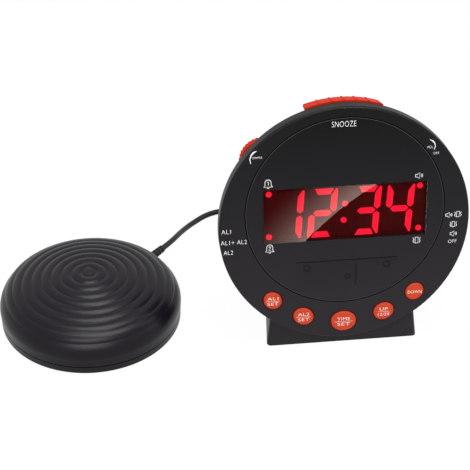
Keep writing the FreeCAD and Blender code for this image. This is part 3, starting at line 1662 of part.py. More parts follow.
def shaker_plug():
    """The plug of the lead, in the clock's socket."""
    face = jack_face
    grip_end = face + plug_grip_length
    tip = bar_along_y(plug_tip_radius, face - plug_tip_length, face, jack_x, jack_z)
    grip = bar_along_y(plug_grip_radius, face, grip_end, jack_x, jack_z)
    grip = grip.makeFillet(plug_edge_rounding, [e for e in grip.Edges if e.BoundBox.YLength < seat_gap])
    tail = Part.makeCone(plug_tail_root_radius, plug_tail_radius, plug_tail_length,
                         Vector(jack_x, grip_end, jack_z), Vector(0, 1, 0))
    return join([tip, grip, tail])


# All sub-parts

save("front_bezel", in_head(front_bezel()))
save("rear_casing", rear_casing())
save("face_lens", in_head(face_lens()))
save("display_mask", in_head(display_mask()))
save("display_module", in_head(display_module()))
save("display_segments_lit", segment_solids(True))
save("display_segments_unlit", segment_solids(False))
save("alert_light_board", in_head(alert_light_board()))
save("alert_leds", alert_leds())
save("alert_screws", alert_screws())
for button_name, button_angle, button_length, button_width in button_table:
    save(button_name, button(button_angle, button_length, button_width))
save("button_board", button_board())
save("button_switches", button_switches())
save("snooze_bar", snooze_bar())
save("snooze_board", snooze_board())
save("snooze_switch", snooze_switch())
save("dimmer_wheel", control_wheel(-1))
save("volume_wheel", control_wheel(1))
save("dimmer_potentiometer", potentiometer(-1))
save("volume_potentiometer", potentiometer(1))
save("alarm_select_slider", side_slider(-1))
save("mode_select_slider", side_slider(1))
save("alarm_select_switch", slide_switch(-1, alarm_select_travel))
save("mode_select_switch", slide_switch(1, mode_select_travel))
save("main_board", main_board())
save("board_screws", board_screws())
save("casing_screws", casing_screws())
save("speaker_frame", speaker_frame())
save("speaker_magnet", speaker_magnet())
save("speaker_cone", speaker_cone())
save("power_jack", jack(-1, power_bore_radius, power_bore_length))
save("shaker_jack", jack(1, shaker_bore_radius, shaker_bore_length))
save("base_plate", base_plate())
save("rubber_pads", rubber_pads())
save("plate_screws", plate_screws())
save("battery_door", battery_door())
save("backup_battery", backup_battery())
save("battery_contacts", battery_contacts())
save("shaker_top_shell", shaker_top_shell())
save("shaker_bottom_shell", shaker_bottom_shell())
save("shaker_screws", shaker_screws())
save("shaker_motor", shaker_motor())
save("motor_cradle", motor_cradle())
save("motor_strap", motor_strap())
save("eccentric_weight", eccentric_weight())
save("shaker_boot", shaker_boot())
save("shaker_lead_front", shaker_lead_front())
save("shaker_lead_coil", shaker_lead_coil())
save("shaker_lead_rear", shaker_lead_rear())
save("shaker_plug", shaker_plug())
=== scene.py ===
import json
import math

import bmesh
import bpy
from mathutils import Matrix, Vector


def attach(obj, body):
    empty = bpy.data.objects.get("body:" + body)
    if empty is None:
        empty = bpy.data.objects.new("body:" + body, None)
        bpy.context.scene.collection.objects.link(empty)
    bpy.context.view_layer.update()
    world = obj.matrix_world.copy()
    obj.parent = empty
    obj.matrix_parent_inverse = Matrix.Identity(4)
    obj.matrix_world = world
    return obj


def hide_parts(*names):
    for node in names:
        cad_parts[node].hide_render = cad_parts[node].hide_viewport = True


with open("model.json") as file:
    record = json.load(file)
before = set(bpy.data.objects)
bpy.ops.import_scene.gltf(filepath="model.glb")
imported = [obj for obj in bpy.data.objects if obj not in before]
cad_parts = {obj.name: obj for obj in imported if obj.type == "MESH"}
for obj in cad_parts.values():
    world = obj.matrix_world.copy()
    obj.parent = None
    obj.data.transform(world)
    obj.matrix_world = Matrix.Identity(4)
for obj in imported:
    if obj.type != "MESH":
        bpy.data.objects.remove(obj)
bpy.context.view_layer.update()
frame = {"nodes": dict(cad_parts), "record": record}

# The clock's face, in metres: its plane leans back by face_tilt about a line through face_middle
mm = 0.001
face_tilt = math.radians(10.7)
face_turn = math.pi / 2 - face_tilt
face_middle = Vector((0, -19.426 * mm, 76.6 * mm))
face_place = Matrix.Translation(face_middle) @ Matrix.Rotation(face_turn, 4, "X")
print_lift = 0.03 * mm

# Places on the face, in millimetres right of its middle and above it
window_radius = 57.45
window_rise = 8.85
display_left = -47.2
display_right = 47.7
display_bottom = -8.6
display_top = 25.14
alert_left = -29.0
alert_right = 31.0
alert_bottom = -41.0
alert_top = -21.4


# Shader expressions

class Link:
    """A shader socket that takes part in plain sums."""

    def __init__(self, finish, socket):
        self.finish = finish
        self.socket = socket

    def maths(self, operation, *values, clamp=False):
        return self.finish.node("ShaderNodeMath", {"operation": operation, "use_clamp": clamp}, values)

    def __add__(self, other):
        return self.maths("ADD", self, other)

    def __radd__(self, other):
        return self.maths("ADD", other, self)

    def __sub__(self, other):
        return self.maths("SUBTRACT", self, other)

    def __rsub__(self, other):
        return self.maths("SUBTRACT", other, self)

    def __mul__(self, other):
        return self.maths("MULTIPLY", self, other)

    def __rmul__(self, other):
        return self.maths("MULTIPLY", other, self)

    def __truediv__(self, other):
        return self.maths("DIVIDE", self, other)

    def above(self, limit):
        return self.maths("GREATER_THAN", self, limit)

    def below(self, limit):
        return self.maths("LESS_THAN", self, limit)

    def within(self, low, high):
        return self.above(low) * self.below(high)


class Finish:
    """The node tree of a new material, or of the world."""

    # The casing and the window get a painted shade that darkens them up the face: over this many millimetres
    # each way, and so far at 0
    shade_reach = 62.0
    shade_middle = 0.38

    def __init__(self, name, world=None):
        self.owner = world or bpy.data.materials.new(name)
        self.owner.use_nodes = True
        self.tree = self.owner.node_tree
        self.tree.nodes.clear()

    def node(self, kind, settings=None, values=(), output=0):
        """Adds a node: first its settings, then the values or links of its sockets."""
        made = self.tree.nodes.new(kind)
        for name, value in (settings or {}).items():
            setattr(made, name, value)
        pairs = values.items() if isinstance(values, dict) else enumerate(values)
        for name, value in pairs:
            if isinstance(value, Link):
                self.tree.links.new(value.socket, made.inputs[name])
            else:
                made.inputs[name].default_value = value
        return Link(self, made.outputs[output]) if made.outputs else None

    def places(self, scale=(1, 1, 1)):
        """Object coordinates, scaled."""
        raw = self.node("ShaderNodeTexCoord", output="Object")
        return self.node("ShaderNodeMapping", {"vector_type": "TEXTURE"}, {"Vector": raw, "Scale": scale})

    def face_coordinates(self):
        """How far a point lies right of the face's middle and above it, in millimetres on the face."""
        raw = self.node("ShaderNodeTexCoord", output="Object")
        flat = self.node("ShaderNodeMapping", {"vector_type": "TEXTURE"},
                         {"Vector": raw, "Location": face_middle, "Scale": (mm, mm, mm),
                          "Rotation": (face_turn, 0, 0)})
        return [self.node("ShaderNodeSeparateXYZ", None, {"Vector": flat}, output=k) for k in (0, 1)]

    def painted_shade_share(self):
        """The share of the painted shade: from 0 low on the face to 1 at its top."""
        up = self.face_coordinates()[1]
        return up.maths("ADD", up / (2 * self.shade_reach), self.shade_middle, clamp=True)

    def noise(self, places, density, detail=2.0, roughness=0.5):
        """Noise with a number of features per metre."""
        return self.node("ShaderNodeTexNoise", None,
                         {"Vector": places, "Scale": density, "Detail": detail, "Roughness": roughness})

    def blend(self, share, first, second):
        """A colour between two others."""
        return self.node("ShaderNodeMix", {"data_type": "RGBA"}, {0: share, 6: first, 7: second}, output=2)

    def bump(self, height, distance, strength=1.0):
        """A normal that follows a height."""
        return self.node("ShaderNodeBump", None,
                         {"Height": height, "Distance": distance, "Strength": strength})

    def close(self, shader, kind="ShaderNodeOutputMaterial"):
        """Joins a shader to the tree's output."""
        self.node(kind, None, {"Surface": shader})
        return self.owner

    def surface(self, **values):
        """Ends the tree in one Principled surface. Names use _ for the spaces in the socket names."""
        named = {name.replace("_", " "): value for name, value in values.items()}
        return self.close(self.node("ShaderNodeBsdfPrincipled", None, named))


def colour(red, green, blue):
    """A colour given as it shows on a screen, from 0 to 255, as the shader needs it."""
    shares = [value / 255 for value in (red, green, blue)]
    return tuple(v / 12.92 if v <= 0.04045 else ((v + 0.055) / 1.055) ** 2.4 for v in shares) + (1.0,)


def dimmed(tone, share):
    """A colour at a share of its strength."""
    return tuple(c * share for c in tone[:3]) + (1.0,)


# Kinds of finish

plastic_clouds = 22
plastic_marks = 90
plastic_spread = 0.05
plastic_grain_height = 0.012 * mm
finer_grain = 2.7


def moulded_plastic(name, dark, light, roughness, grain, gloss, painted_top_shade=None):
    """Injection-moulded plastic: a fine grain, slow changes of tone, faint handling marks and, with a top
    tone, painted shade up the face.
    """
    finish = Finish(name)
    places = finish.places()
    cloudy = finish.noise(places, plastic_clouds, detail=3)
    handled = finish.noise(places, plastic_marks, detail=4, roughness=0.6)
    fine = finish.noise(places, grain)
    finer = finish.noise(places, grain * finer_grain)
    tone = finish.blend(cloudy, dark, light)
    # Painted shade: the tone darkens up the face towards the top tone.
    if painted_top_shade:
        tone = finish.blend(finish.painted_shade_share(), tone, painted_top_shade)
    rough = roughness + (handled - 0.5) * plastic_spread * 2 + (cloudy - 0.5) * plastic_spread
    normal = finish.bump(fine + finer * 0.5, plastic_grain_height, strength=0.6)
    return finish.surface(Base_Color=tone, Roughness=rough, Normal=normal, Specular_IOR_Level=gloss)


window_clouds = 25
window_smears = 60
# The window is lighter low on the face and darker at the top: painted light and painted shade.
window_low_tones = colour(34, 32, 35), colour(39, 37, 40)
window_painted_top_shade = colour(4, 4, 5)
clear_share = 0.92
smoke_share = 0.04


def smoked_window():
    """The dark window: clear in front of the display, smoked in front of the alert lights, and with a painted
    shade that darkens it up the face.
    """
    finish = Finish("smoked_window")
    places = finish.places()
    smears = finish.noise(places, window_smears, detail=4, roughness=0.6)
    cloudy = finish.noise(places, window_clouds, detail=3)
    right, up = finish.face_coordinates()
    display = right.within(display_left, display_right) * up.within(display_bottom, display_top)
    alert = right.within(alert_left, alert_right) * up.within(alert_bottom, alert_top)
    cover = 1.0 - display * clear_share - alert * smoke_share
    low_tone = finish.blend(cloudy, *window_low_tones)
    # Painted shade: the tone darkens up the face towards the top tone.
    tone = finish.blend(finish.painted_shade_share(), low_tone, window_painted_top_shade)
    rough = 0.3 + (smears - 0.5) * 0.08
    return finish.surface(Base_Color=tone, Roughness=rough, Alpha=cover, Specular_IOR_Level=0.12)


film_gloss = 0.028
film_edge_gloss = 0.25
film_edge_power = 5.0
film_roughness = 0.03


def polished_film():
    """The polished clear part of the window in front of the display, with more gloss at a slant."""
    finish = Finish("polished_film")
    clear = finish.node("ShaderNodeBsdfTransparent", None, {"Color": (1, 1, 1, 1)})
    gloss = finish.node("ShaderNodeBsdfGlossy", None, {"Color": (1, 1, 1, 1), "Roughness": film_roughness})
    facing = finish.node("ShaderNodeLayerWeight", None, {"Blend": 0.5}, output="Facing")
    share = film_gloss + facing.maths("POWER", facing, film_edge_power) * film_edge_gloss
    return finish.close(finish.node("ShaderNodeMixShader", None, {0: share, 1: clear, 2: gloss}))


def glowing(name, lit, strength, body):
    """A light window that glows evenly, with faint flecks of its resin."""
    finish = Finish(name)
    flecks = finish.noise(finish.places(), 900)
    tone = finish.blend(flecks * 0.15, lit, body)
    return finish.surface(Base_Color=body, Roughness=0.4, Emission_Color=tone, Emission_Strength=strength)


board_track_density = 260.0
board_track_width = 0.09
board_pad_density = 190.0
board_pad_radius = 0.16


def circuit_board():
    """Green solder mask over copper tracks and silver pads."""
    finish = Finish("circuit_board")
    places = finish.places()
    cells = finish.node("ShaderNodeTexVoronoi", {"feature": "DISTANCE_TO_EDGE"},
                        {"Vector": places, "Scale": board_track_density, "Randomness": 0.35})
    dots = finish.node("ShaderNodeTexVoronoi", {"feature": "F1"},
                       {"Vector": places, "Scale": board_pad_density, "Randomness": 0.5})
    tracks = cells.below(board_track_width)
    pads = dots.below(board_pad_radius)
    mask = finish.blend(tracks, (0.005, 0.085, 0.03, 1), (0.015, 0.19, 0.07, 1))
    tone = finish.blend(pads, mask, (0.55, 0.55, 0.52, 1))
    normal = finish.bump(tracks + pads, 0.03 * mm)
    return finish.surface(Base_Color=tone, Roughness=0.35 - pads * 0.1, Metallic=pads * 0.8, Normal=normal)


def plain_metal(name, tone, roughness, streaks=900.0):
    """Drawn or turned metal with fine streaks."""
    finish = Finish(name)
    lines = finish.noise(finish.places((1, 1, 8)), streaks, detail=3, roughness=0.6)
    base = finish.blend(lines, dimmed(tone, 0.75), tone)
    return finish.surface(Base_Color=base, Metallic=1.0, Roughness=roughness + (lines - 0.5) * 0.2,
                          Normal=finish.bump(lines, 0.004 * mm))


def speaker_paper():
    """Pressed paper with fibres."""
    finish = Finish("speaker_paper")
    fibres = finish.noise(finish.places(), 2400, detail=4, roughness=0.7)
    tone = finish.blend(fibres, (0.012, 0.012, 0.013, 1), (0.05, 0.05, 0.052, 1))
    return finish.surface(Base_Color=tone, Roughness=0.9, Normal=finish.bump(fibres, 0.03 * mm))


battery_band_start = 11 * mm


def battery_wrap():
    """The block battery's printed metal wrap: a dark body with a coppery band at the studs' end."""
    finish = Finish("battery_wrap")
    raw = finish.node("ShaderNodeTexCoord", output="Object")
    across = finish.node("ShaderNodeSeparateXYZ", None, {"Vector": raw}, output=0)
    band = across.above(battery_band_start)
    tone = finish.blend(band, (0.02, 0.02, 0.024, 1), (0.42, 0.2, 0.07, 1))
    scuffs = finish.noise(raw, 700, detail=4, roughness=0.6)
    rough = 0.32 + (scuffs - 0.5) * 0.2
    return finish.surface(Base_Color=tone, Roughness=rough, Metallic=0.2 + band * 0.6)


def white_print(name, tone):
    """Screen-printed ink, with a slightly uneven coat."""
    finish = Finish(name)
    coat = finish.noise(finish.places(), 4000, detail=3)
    pale = finish.blend(coat, dimmed(tone, 0.85), tone)
    return finish.surface(Base_Color=pale, Roughness=0.55, Specular_IOR_Level=0.3)


# The object's finishes

# The casing's tone carries a painted shade: lighter low on the face and darker up it.
casing_plastic = moulded_plastic("casing_plastic", colour(32, 30, 33), colour(37, 35, 38), roughness=0.42,
                                 grain=2600, gloss=0.13, painted_top_shade=colour(8, 8, 9))
shaker_plastic = moulded_plastic("shaker_plastic", colour(9, 5, 12), colour(14, 10, 18), roughness=0.33,
                                 grain=2200, gloss=0.2)
orange_plastic = moulded_plastic("orange_plastic", colour(184, 33, 4), colour(193, 38, 7), roughness=0.4,
                                 grain=2400, gloss=0.02)
button_plastic = moulded_plastic("button_plastic", colour(180, 62, 40), colour(188, 68, 45), roughness=0.4,
                                 grain=2400, gloss=0.02)
display_resin = moulded_plastic("display_resin", colour(66, 3, 1), colour(76, 5, 2), roughness=0.5,
                                grain=1500, gloss=0.05)
dark_window = moulded_plastic("dark_window", colour(64, 3, 2), colour(74, 5, 3), roughness=0.45,
                              grain=1500, gloss=0.05)
component_plastic = moulded_plastic("component_plastic", colour(24, 24, 25), colour(36, 36, 38),
                                    roughness=0.5, grain=3000, gloss=0.3)
led_lens = moulded_plastic("led_lens", colour(120, 116, 104), colour(150, 146, 132), roughness=0.25,
                           grain=1500, gloss=0.5)
soft_rubber = moulded_plastic("soft_rubber", colour(22, 22, 23), colour(32, 32, 33), roughness=0.65,
                              grain=3500, gloss=0.25)
cable_jacket = moulded_plastic("cable_jacket", colour(9, 9, 10), colour(14, 14, 15), roughness=0.38,
                               grain=3500, gloss=0.25)
# Painted shade: the dark red of the shaded gap round each button.
painted_gap_shade = moulded_plastic("painted_gap_shade", colour(58, 14, 10), colour(70, 18, 12), roughness=0.5,
                           grain=2400, gloss=0.1)
# Painted highlight for the window's edge, and painted shade for the groove round it.
painted_edge_highlight = moulded_plastic("painted_edge_highlight", colour(60, 60, 62), colour(68, 68, 70), roughness=0.4,
                              grain=2400, gloss=0.1)
painted_groove_shade = moulded_plastic("painted_groove_shade", colour(3, 3, 3), colour(5, 5, 5), roughness=0.7,
                              grain=2400, gloss=0.0)
faint_edge = moulded_plastic("faint_edge", colour(17, 16, 18), colour(21, 20, 22), roughness=0.6,
                             grain=2400, gloss=0.05)
motor_can = plain_metal("motor_can", (0.5, 0.5, 0.49, 1), 0.35)
bright_steel = plain_metal("bright_steel", (0.6, 0.6, 0.62, 1), 0.25)
dark_screw = plain_metal("dark_screw", (0.1, 0.1, 0.105, 1), 0.4)
ground_magnet = plain_metal("ground_magnet", (0.1, 0.1, 0.105, 1), 0.5, streaks=500.0)
lit_window = glowing("lit_window", colour(255, 0, 45), 1.25, colour(120, 4, 14))
face_ink = white_print("face_ink", colour(242, 242, 244))
button_ink = white_print("button_ink", colour(250, 226, 216))
window_film = polished_film()

slot_finishes = {
    "casing": casing_plastic,
    "window": smoked_window(),
    "display_black": display_resin,
    "display_body": display_resin,
    "segment_lit": lit_window,
    "segment_dark": dark_window,
    "orange": orange_plastic,
    "circuit_board": circuit_board(),
    "component": component_plastic,
    "light_package": led_lens,
    "steel": bright_steel,
    "speaker_paper": speaker_paper(),
    "magnet": ground_magnet,
    "battery_case": battery_wrap(),
    "rubber": soft_rubber,
    "cable": cable_jacket,
    "switch_body": component_plastic,
}
nodes_with_their_own_finish = {
    shaker_plastic: ("shaker_top_shell", "shaker_bottom_shell"),
    component_plastic: ("alarm_select_slider", "mode_select_slider", "alert_light_board"),
    dark_screw: ("casing_screws", "plate_screws", "shaker_screws"),
    button_plastic: ("button_alarm_1", "button_alarm_2", "button_time", "button_up", "button_down"),
    motor_can: ("shaker_motor",),
}


def finish_nodes():
    """Gives every carried-over node the finish of its slot, or its own."""
    own_finishes = {name: finish for finish, names in nodes_with_their_own_finish.items() for name in names}
    for entry in frame["record"]["subparts"]:
        name = entry["node"]
        materials = frame["nodes"][name].data.materials
        materials.clear()
        materials.append(own_finishes.get(name, slot_finishes[entry["material_slot"]]))


# Pieces

def link_object(name, data):
    """Puts a new object into the scene."""
    made = bpy.data.objects.new(name, data)
    bpy.context.scene.collection.objects.link(made)
    return made


def add_piece(name, mesh, finish, body="clock"):
    """Makes a mesh a piece that rides on a body."""
    piece = link_object(name, mesh)
    mesh.materials.clear()
    mesh.materials.append(finish)
    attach(piece, body)


def shape_mesh(shape, name, place, smooth_angle=None):
    """Turns a bmesh into a mesh, at its place."""
    bmesh.ops.transform(shape, matrix=place, verts=shape.verts)
    mesh = bpy.data.meshes.new(name)
    shape.to_mesh(mesh)
    shape.free()
    if smooth_angle is not None:
        mesh.shade_smooth()
        mesh.set_sharp_from_angle(angle=math.radians(smooth_angle))
    return mesh


def curve_mesh(curve, name):
    """Turns a curve or text into a mesh and removes the curve's object."""
    holder = link_object(name, curve)
    bpy.context.view_layer.update()
    mesh = bpy.data.meshes.new_from_object(holder.evaluated_get(bpy.context.evaluated_depsgraph_get()))
    bpy.data.objects.remove(holder)
    bpy.data.curves.remove(curve)
    return mesh


letter_spacing = 1.07
face_letter_weight = -0.014
button_letter_weight = -0.004
stroke_flatness = 0.02


def print_text(name, text, left, right, middle, height, ink=face_ink, lift=print_lift, body="clock",
               weight=face_letter_weight):
    """Lettering on the face, fitted between two sides and to a height, in millimetres on the face."""
    curve = bpy.data.curves.new(name, "FONT")
    curve.body = text
    curve.resolution_u = 3
    curve.offset = weight
    curve.space_character = letter_spacing
    mesh = curve_mesh(curve, name)
    lows = [min(v.co[k] for v in mesh.vertices) for k in (0, 1)]
    highs = [max(v.co[k] for v in mesh.vertices) for k in (0, 1)]
    wide = (right - left) * mm / (highs[0] - lows[0])
    tall = height * mm / (highs[1] - lows[1])
    centre = Vector(((lows[0] + highs[0]) / 2, (lows[1] + highs[1]) / 2, 0))
    target = Vector(((left + right) / 2 * mm, middle * mm, lift))
    fit = Matrix.Translation(target) @ Matrix.Diagonal((wide, tall, 1, 1)) @ Matrix.Translation(-centre)
    mesh.transform(face_place @ fit)
    add_piece(name, mesh, ink, body)


def print_strokes(name, lines, width, ink, lift=print_lift, body="clock", closed=False):
    """Printed lines of even width on the face, through points in millimetres on the face."""
    curve = bpy.data.curves.new(name, "CURVE")
    curve.dimensions = "3D"
    curve.bevel_depth = width / 2 * mm
    curve.bevel_resolution = 1
    for points in lines:
        spline = curve.splines.new("POLY")
        spline.points.add(len(points) - 1)
        for point, (x, y) in zip(spline.points, points):
            point.co = (x * mm, y * mm, 0, 1)
        spline.use_cyclic_u = closed
    curve.use_fill_caps = True
    mesh = curve_mesh(curve, name)
    flat = Matrix.Translation((0, 0, lift - print_lift / 2)) @ Matrix.Diagonal((1, 1, stroke_flatness, 1))
    mesh.transform(face_place @ flat)
    add_piece(name, mesh, ink, body)


oval_steps = 96


def round_line(name, x, y, half_length, half_width, turn, width, finish):
    """A thin elliptic line on the face."""
    points = []
    for k in range(oval_steps):
        a = 2 * math.pi * k / oval_steps
        along = half_length * math.cos(a)
        across = half_width * math.sin(a)
        points.append((x + along * math.cos(turn) - across * math.sin(turn),
                       y + along * math.sin(turn) + across * math.cos(turn)))
    print_strokes(name, [points], width, finish, closed=True)


# Camera, lamps, floor and sky

camera_place = Vector((-0.14096, -0.67098, 0.55351))
camera_direction = Vector((0.0951, 0.8024, -0.5891))
camera_roll = math.radians(0.343)
photo_side = 470
focal_pixels = 1420.1
film_width = 36.0

# Each lamp's place, the point it is aimed at, its width, height and power
softboxes = {
    "front_softbox": ((-0.25, -1.1, 1.0), (-0.03, 0, 0.05), 1.0, 0.7, 12),
    "top_softbox": ((0.02, -0.12, 1.3), (-0.06, -0.03, 0.03), 0.55, 0.95, 13.5),
    "right_softbox": ((1.0, 0.1, 0.6), (0, 0, 0.05), 0.5, 0.9, 4),
}
table_grey = 0.82
table_half_side = 6
table_depth = 0.05 * mm
table_white_share = 0.97
sky_on_object = 0.3


def towards(direction):
    """The turn of a camera or lamp that looks along a direction."""
    return direction.to_track_quat("-Z", "Y").to_matrix()


def add_camera():
    """The camera of the photograph."""
    data = bpy.data.cameras.new("photo_camera")
    data.sensor_width = film_width
    data.lens = focal_pixels / photo_side * film_width
    data.clip_start = 0.01
    camera = link_object("photo_camera", data)
    turn = towards(camera_direction) @ Matrix.Rotation(camera_roll, 3, "Z")
    camera.matrix_world = Matrix.Translation(camera_place) @ turn.to_4x4()
    bpy.context.scene.camera = camera


def add_softboxes():
    """The rectangular soft lamps."""
    for name, (place, aim, width, height, power) in softboxes.items():
        data = bpy.data.lights.new(name, "AREA")
        data.shape = "RECTANGLE"
        data.size = width
        data.size_y = height
        data.energy = power
        turn = towards(Vector(aim) - Vector(place))
        link_object(name, data).matrix_world = Matrix.Translation(place) @ turn.to_4x4()


def seen_directly(finish):
    """1 for rays from the camera, from gloss and through glass, 0 for the light on the object."""
    path = [finish.node("ShaderNodeLightPath", output=name) for name in
            ("Is Camera Ray", "Is Glossy Ray", "Is Transmission Ray")]
    return path[0].maths("MAXIMUM", path[0].maths("MAXIMUM", path[0], path[1]), path[2])


def add_floor():
    """A plain white table that shows the object's shadow faintly."""
    finish = Finish("table_white")
    plain = finish.node("ShaderNodeBsdfDiffuse", None, {"Color": (table_grey, table_grey, table_grey, 1)})
    white = finish.node("ShaderNodeEmission", None, {"Color": (1, 1, 1, 1), "Strength": 1.0})
    share = seen_directly(finish) * table_white_share
    finish.close(finish.node("ShaderNodeMixShader", None, {0: share, 1: plain, 2: white}))
    shape = bmesh.new()
    bmesh.ops.create_grid(shape, x_segments=1, y_segments=1, size=table_half_side)
    mesh = shape_mesh(shape, "table", Matrix.Translation((0, 0, -table_depth)))
    mesh.materials.append(finish.owner)
    table = link_object("table", mesh)


def add_sky():
    """An even studio: white to the eye, softer as light on the object."""
    world = bpy.data.worlds.new("studio")
    bpy.context.scene.world = world
    finish = Finish("studio", world)
    strength = sky_on_object + seen_directly(finish) * (1 - sky_on_object)
    light = finish.node("ShaderNodeBackground", None, {"Color": (1, 1, 1, 1), "Strength": strength})
    finish.close(light, "ShaderNodeOutputWorld")


# Lead

shaker_middle = Vector((-148.4 * mm, 9.6 * mm, 0))
lead_radius = 1.8 * mm
coil_inner_radius = 14.5 * mm
coil_pitch = 4.15 * mm
coil_layer_height = 4.1 * mm
turns_per_layer = 3
layer_count = 4
last_layer_extra_turns = 0.25
points_per_turn = 24
jack_x = 20 * mm
jack_z = 20 * mm
plug_back = 47.8 * mm
coil_centre_y = 84 * mm
lead_end_straight = 3.6 * mm
boot_angle = math.radians(47.2)
boot_end_radius = 69.5 * mm
boot_height = 9.4 * mm
boot_run = 9.5 * mm
steps_from_boot = [(13.4, 22.0, -4.2), (21.6, 35.4, -7.6)]
steps_from_coil = [(-54.6, -3.4, 0), (-38.4, -1.2, 0)]
front_last_run = 19 * mm
rear_run = 9.5 * mm


def eased(distance):
    """A distance in turns whose corner at zero is rounded over a quarter turn each way."""
    quarter = 0.25
    return distance if distance >= quarter else 2 * distance * distance + quarter / 2


def coil_point(turn):
    """A point of the wound lead: layers that spiral in and out, and climb where the spiral reverses."""
    layer = turns_per_layer
    inward = abs(turn % (2 * layer) - layer)
    if turn > (layer_count - 1) * layer:
        inward = turn - (layer_count - 1) * layer
    near_outer_reversal = abs(turn - 2 * layer) < layer / 2
    spread = layer - eased(layer - inward) if near_outer_reversal else eased(inward)
    height = lead_radius
    for k in range(1, layer_count):
        rise = min(max((turn - k * layer) * 2 + 0.5, 0.0), 1.0)
        height += coil_layer_height * rise * rise * (3 - 2 * rise)
    radius = coil_inner_radius + coil_pitch * spread
    end_radius = coil_inner_radius + coil_pitch * (turns_per_layer + last_layer_extra_turns)
    a = math.pi / 2 - 2 * math.pi * turn
    return Vector((jack_x - end_radius + radius * math.cos(a), coil_centre_y + radius * math.sin(a), height))


def lead_route():
    """The whole lead, from the boot over the table into the coil and on to the plug."""
    axis = Vector((math.cos(boot_angle), math.sin(boot_angle), 0))
    start = shaker_middle + axis * boot_end_radius + Vector((0, 0, boot_height))
    coil_start = coil_point(0) - Vector((lead_end_straight, 0, 0))
    points = [start, start + axis * boot_run]
    points += [start + Vector(step) * mm for step in steps_from_boot]
    points += [coil_start + Vector(step) * mm for step in steps_from_coil]
    points += [coil_start - Vector((front_last_run, 0, 0)), coil_start]
    turns = layer_count * turns_per_layer + last_layer_extra_turns
    steps = round(turns * points_per_turn)
    points += [coil_point(turns * k / steps) for k in range(steps + 1)]
    coil_end = points[-1] - Vector((0, lead_end_straight, 0))
    end = Vector((jack_x, plug_back, jack_z))
    points += [coil_end, coil_end - Vector((0, rear_run, 0)), end + Vector((0, rear_run, 0)), end]
    return points


def add_lead():
    """The shaker's lead as one flexible tube."""
    curve = bpy.data.curves.new("shaker_lead", "CURVE")
    curve.dimensions = "3D"
    curve.bevel_depth = lead_radius
    curve.bevel_resolution = 5
    curve.resolution_u = 4
    route = lead_route()
    spline = curve.splines.new("NURBS")
    spline.points.add(len(route) - 1)
    for point, place in zip(spline.points, route):
        point.co = (*place, 1)
    spline.order_u = 3
    spline.use_endpoint_u = True
    curve.materials.append(cable_jacket)
    lead = link_object("shaker_lead", curve)
    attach(lead, "clock")
    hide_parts("shaker_lead_front", "shaker_lead_coil", "shaker_lead_rear")


# The pin inside the power jack

power_pin_radius = 0.7 * mm
power_pin_front = 16.5 * mm
power_pin_back = 24.6 * mm


def add_power_pin():
    """The metal pin in the middle of the power jack's bore."""
    shape = bmesh.new()
    bmesh.ops.create_cone(shape, cap_ends=True, segments=24, radius1=power_pin_radius,
                          radius2=power_pin_radius, depth=power_pin_back - power_pin_front)
    middle = Vector((-jack_x, (power_pin_front + power_pin_back) / 2, jack_z))
    place = Matrix.Translation(middle) @ Matrix.Rotation(math.pi / 2, 4, "X")
    add_piece("power_pin", shape_mesh(shape, "power_pin", place, smooth_angle=40), bright_steel)


# Signs, each as lines round its own middle, in millimetres

sign_stroke = 0.36
bell_dome = [(1.75 * math.cos(math.pi * k / 8), 0.8 + 1.8 * math.sin(math.pi * k / 8)) for k in range(9)]
bell_outline = [(2.6, -1.9), (1.75, -1.0), *bell_dome, (-1.75, -1.0), (-2.6, -1.9), (2.6, -1.9)]
bell_clapper = [(-0.7, -2.6), (0.7, -2.6)]
bell_figures = {
    "1": [(-0.35, 1.0), (0.15, 1.4), (0.15, -0.8)],
    "2": [(-0.6, 1.0), (-0.2, 1.4), (0.35, 1.3), (0.5, 0.8), (-0.6, -0.8), (0.65, -0.8)],
}
loudspeaker = [(-1.9, 0.7), (-1.0, 0.7), (0.3, 1.7), (0.3, -1.7), (-1.0, -0.7), (-1.9, -0.7), (-1.9, 0.7)]
sound_waves = [[(0.4 + reach * math.cos(a), reach * math.sin(a)) for a in (-0.8, -0.3, 0.3, 0.8)]
               for reach in (0.8, 1.5)]
sound_lines = [loudspeaker, *sound_waves]
shaken_block = [(-0.8, -1.7), (0.8, -1.7), (0.8, 1.7), (-0.8, 1.7), (-0.8, -1.7)]
zigzag = [(1.95, 1.5), (1.45, 0.5), (1.95, -0.5), (1.45, -1.5)]
shaking_lines = [shaken_block, [(-along, rise) for along, rise in zigzag], zigzag]


def print_sign(name, lines, x, y, size=1.0):
    """A sign of thin lines at a place on the face."""
    placed = [[(x + along * size, y + rise * size) for along, rise in line] for line in lines]
    print_strokes(name, placed, sign_stroke, face_ink)


def bell(x, y, digit):
    """An alarm bell with its number."""
    print_sign("bell_" + digit, [bell_outline, bell_clapper], x, y)
    print_sign("bell_digit_" + digit, [bell_figures[digit]], x, y)


dimmer_bow = [(-50.8, 49.6), (-52.6, 48.7), (-54.0, 47.0), (-54.7, 44.8), (-54.2, 42.0)]
volume_bow = [(47.6, 50.4), (49.2, 49.7), (50.5, 48.2), (51.0, 46.4), (50.4, 44.1)]
swoosh_tip = 0.25


def swoosh(name, points, thick):
    """A crescent that runs from a thick, rounded end to a thin one, through points on the face."""
    shape = bmesh.new()
    last = len(points) - 1
    rows = []
    for k, (x, y) in enumerate(points):
        before = Vector(points[max(k - 1, 0)])
        after = Vector(points[min(k + 1, last)])
        across = (after - before).normalized().orthogonal()
        half = (thick + (swoosh_tip - thick) * k / last) / 2
        half = half * min(1.0, (k + 0.35) / 1.2)
        rows.append([shape.verts.new(((x + side * across.x * half) * mm, (y + side * across.y * half) * mm, 0))
                     for side in (-1, 1)])
    for low, high in zip(rows, rows[1:]):
        shape.faces.new((low[0], low[1], high[1], high[0]))
    bmesh.ops.recalc_face_normals(shape, faces=shape.faces)
    mesh = shape_mesh(shape, name, face_place @ Matrix.Translation((0, 0, print_lift)))
    add_piece(name, mesh, face_ink)


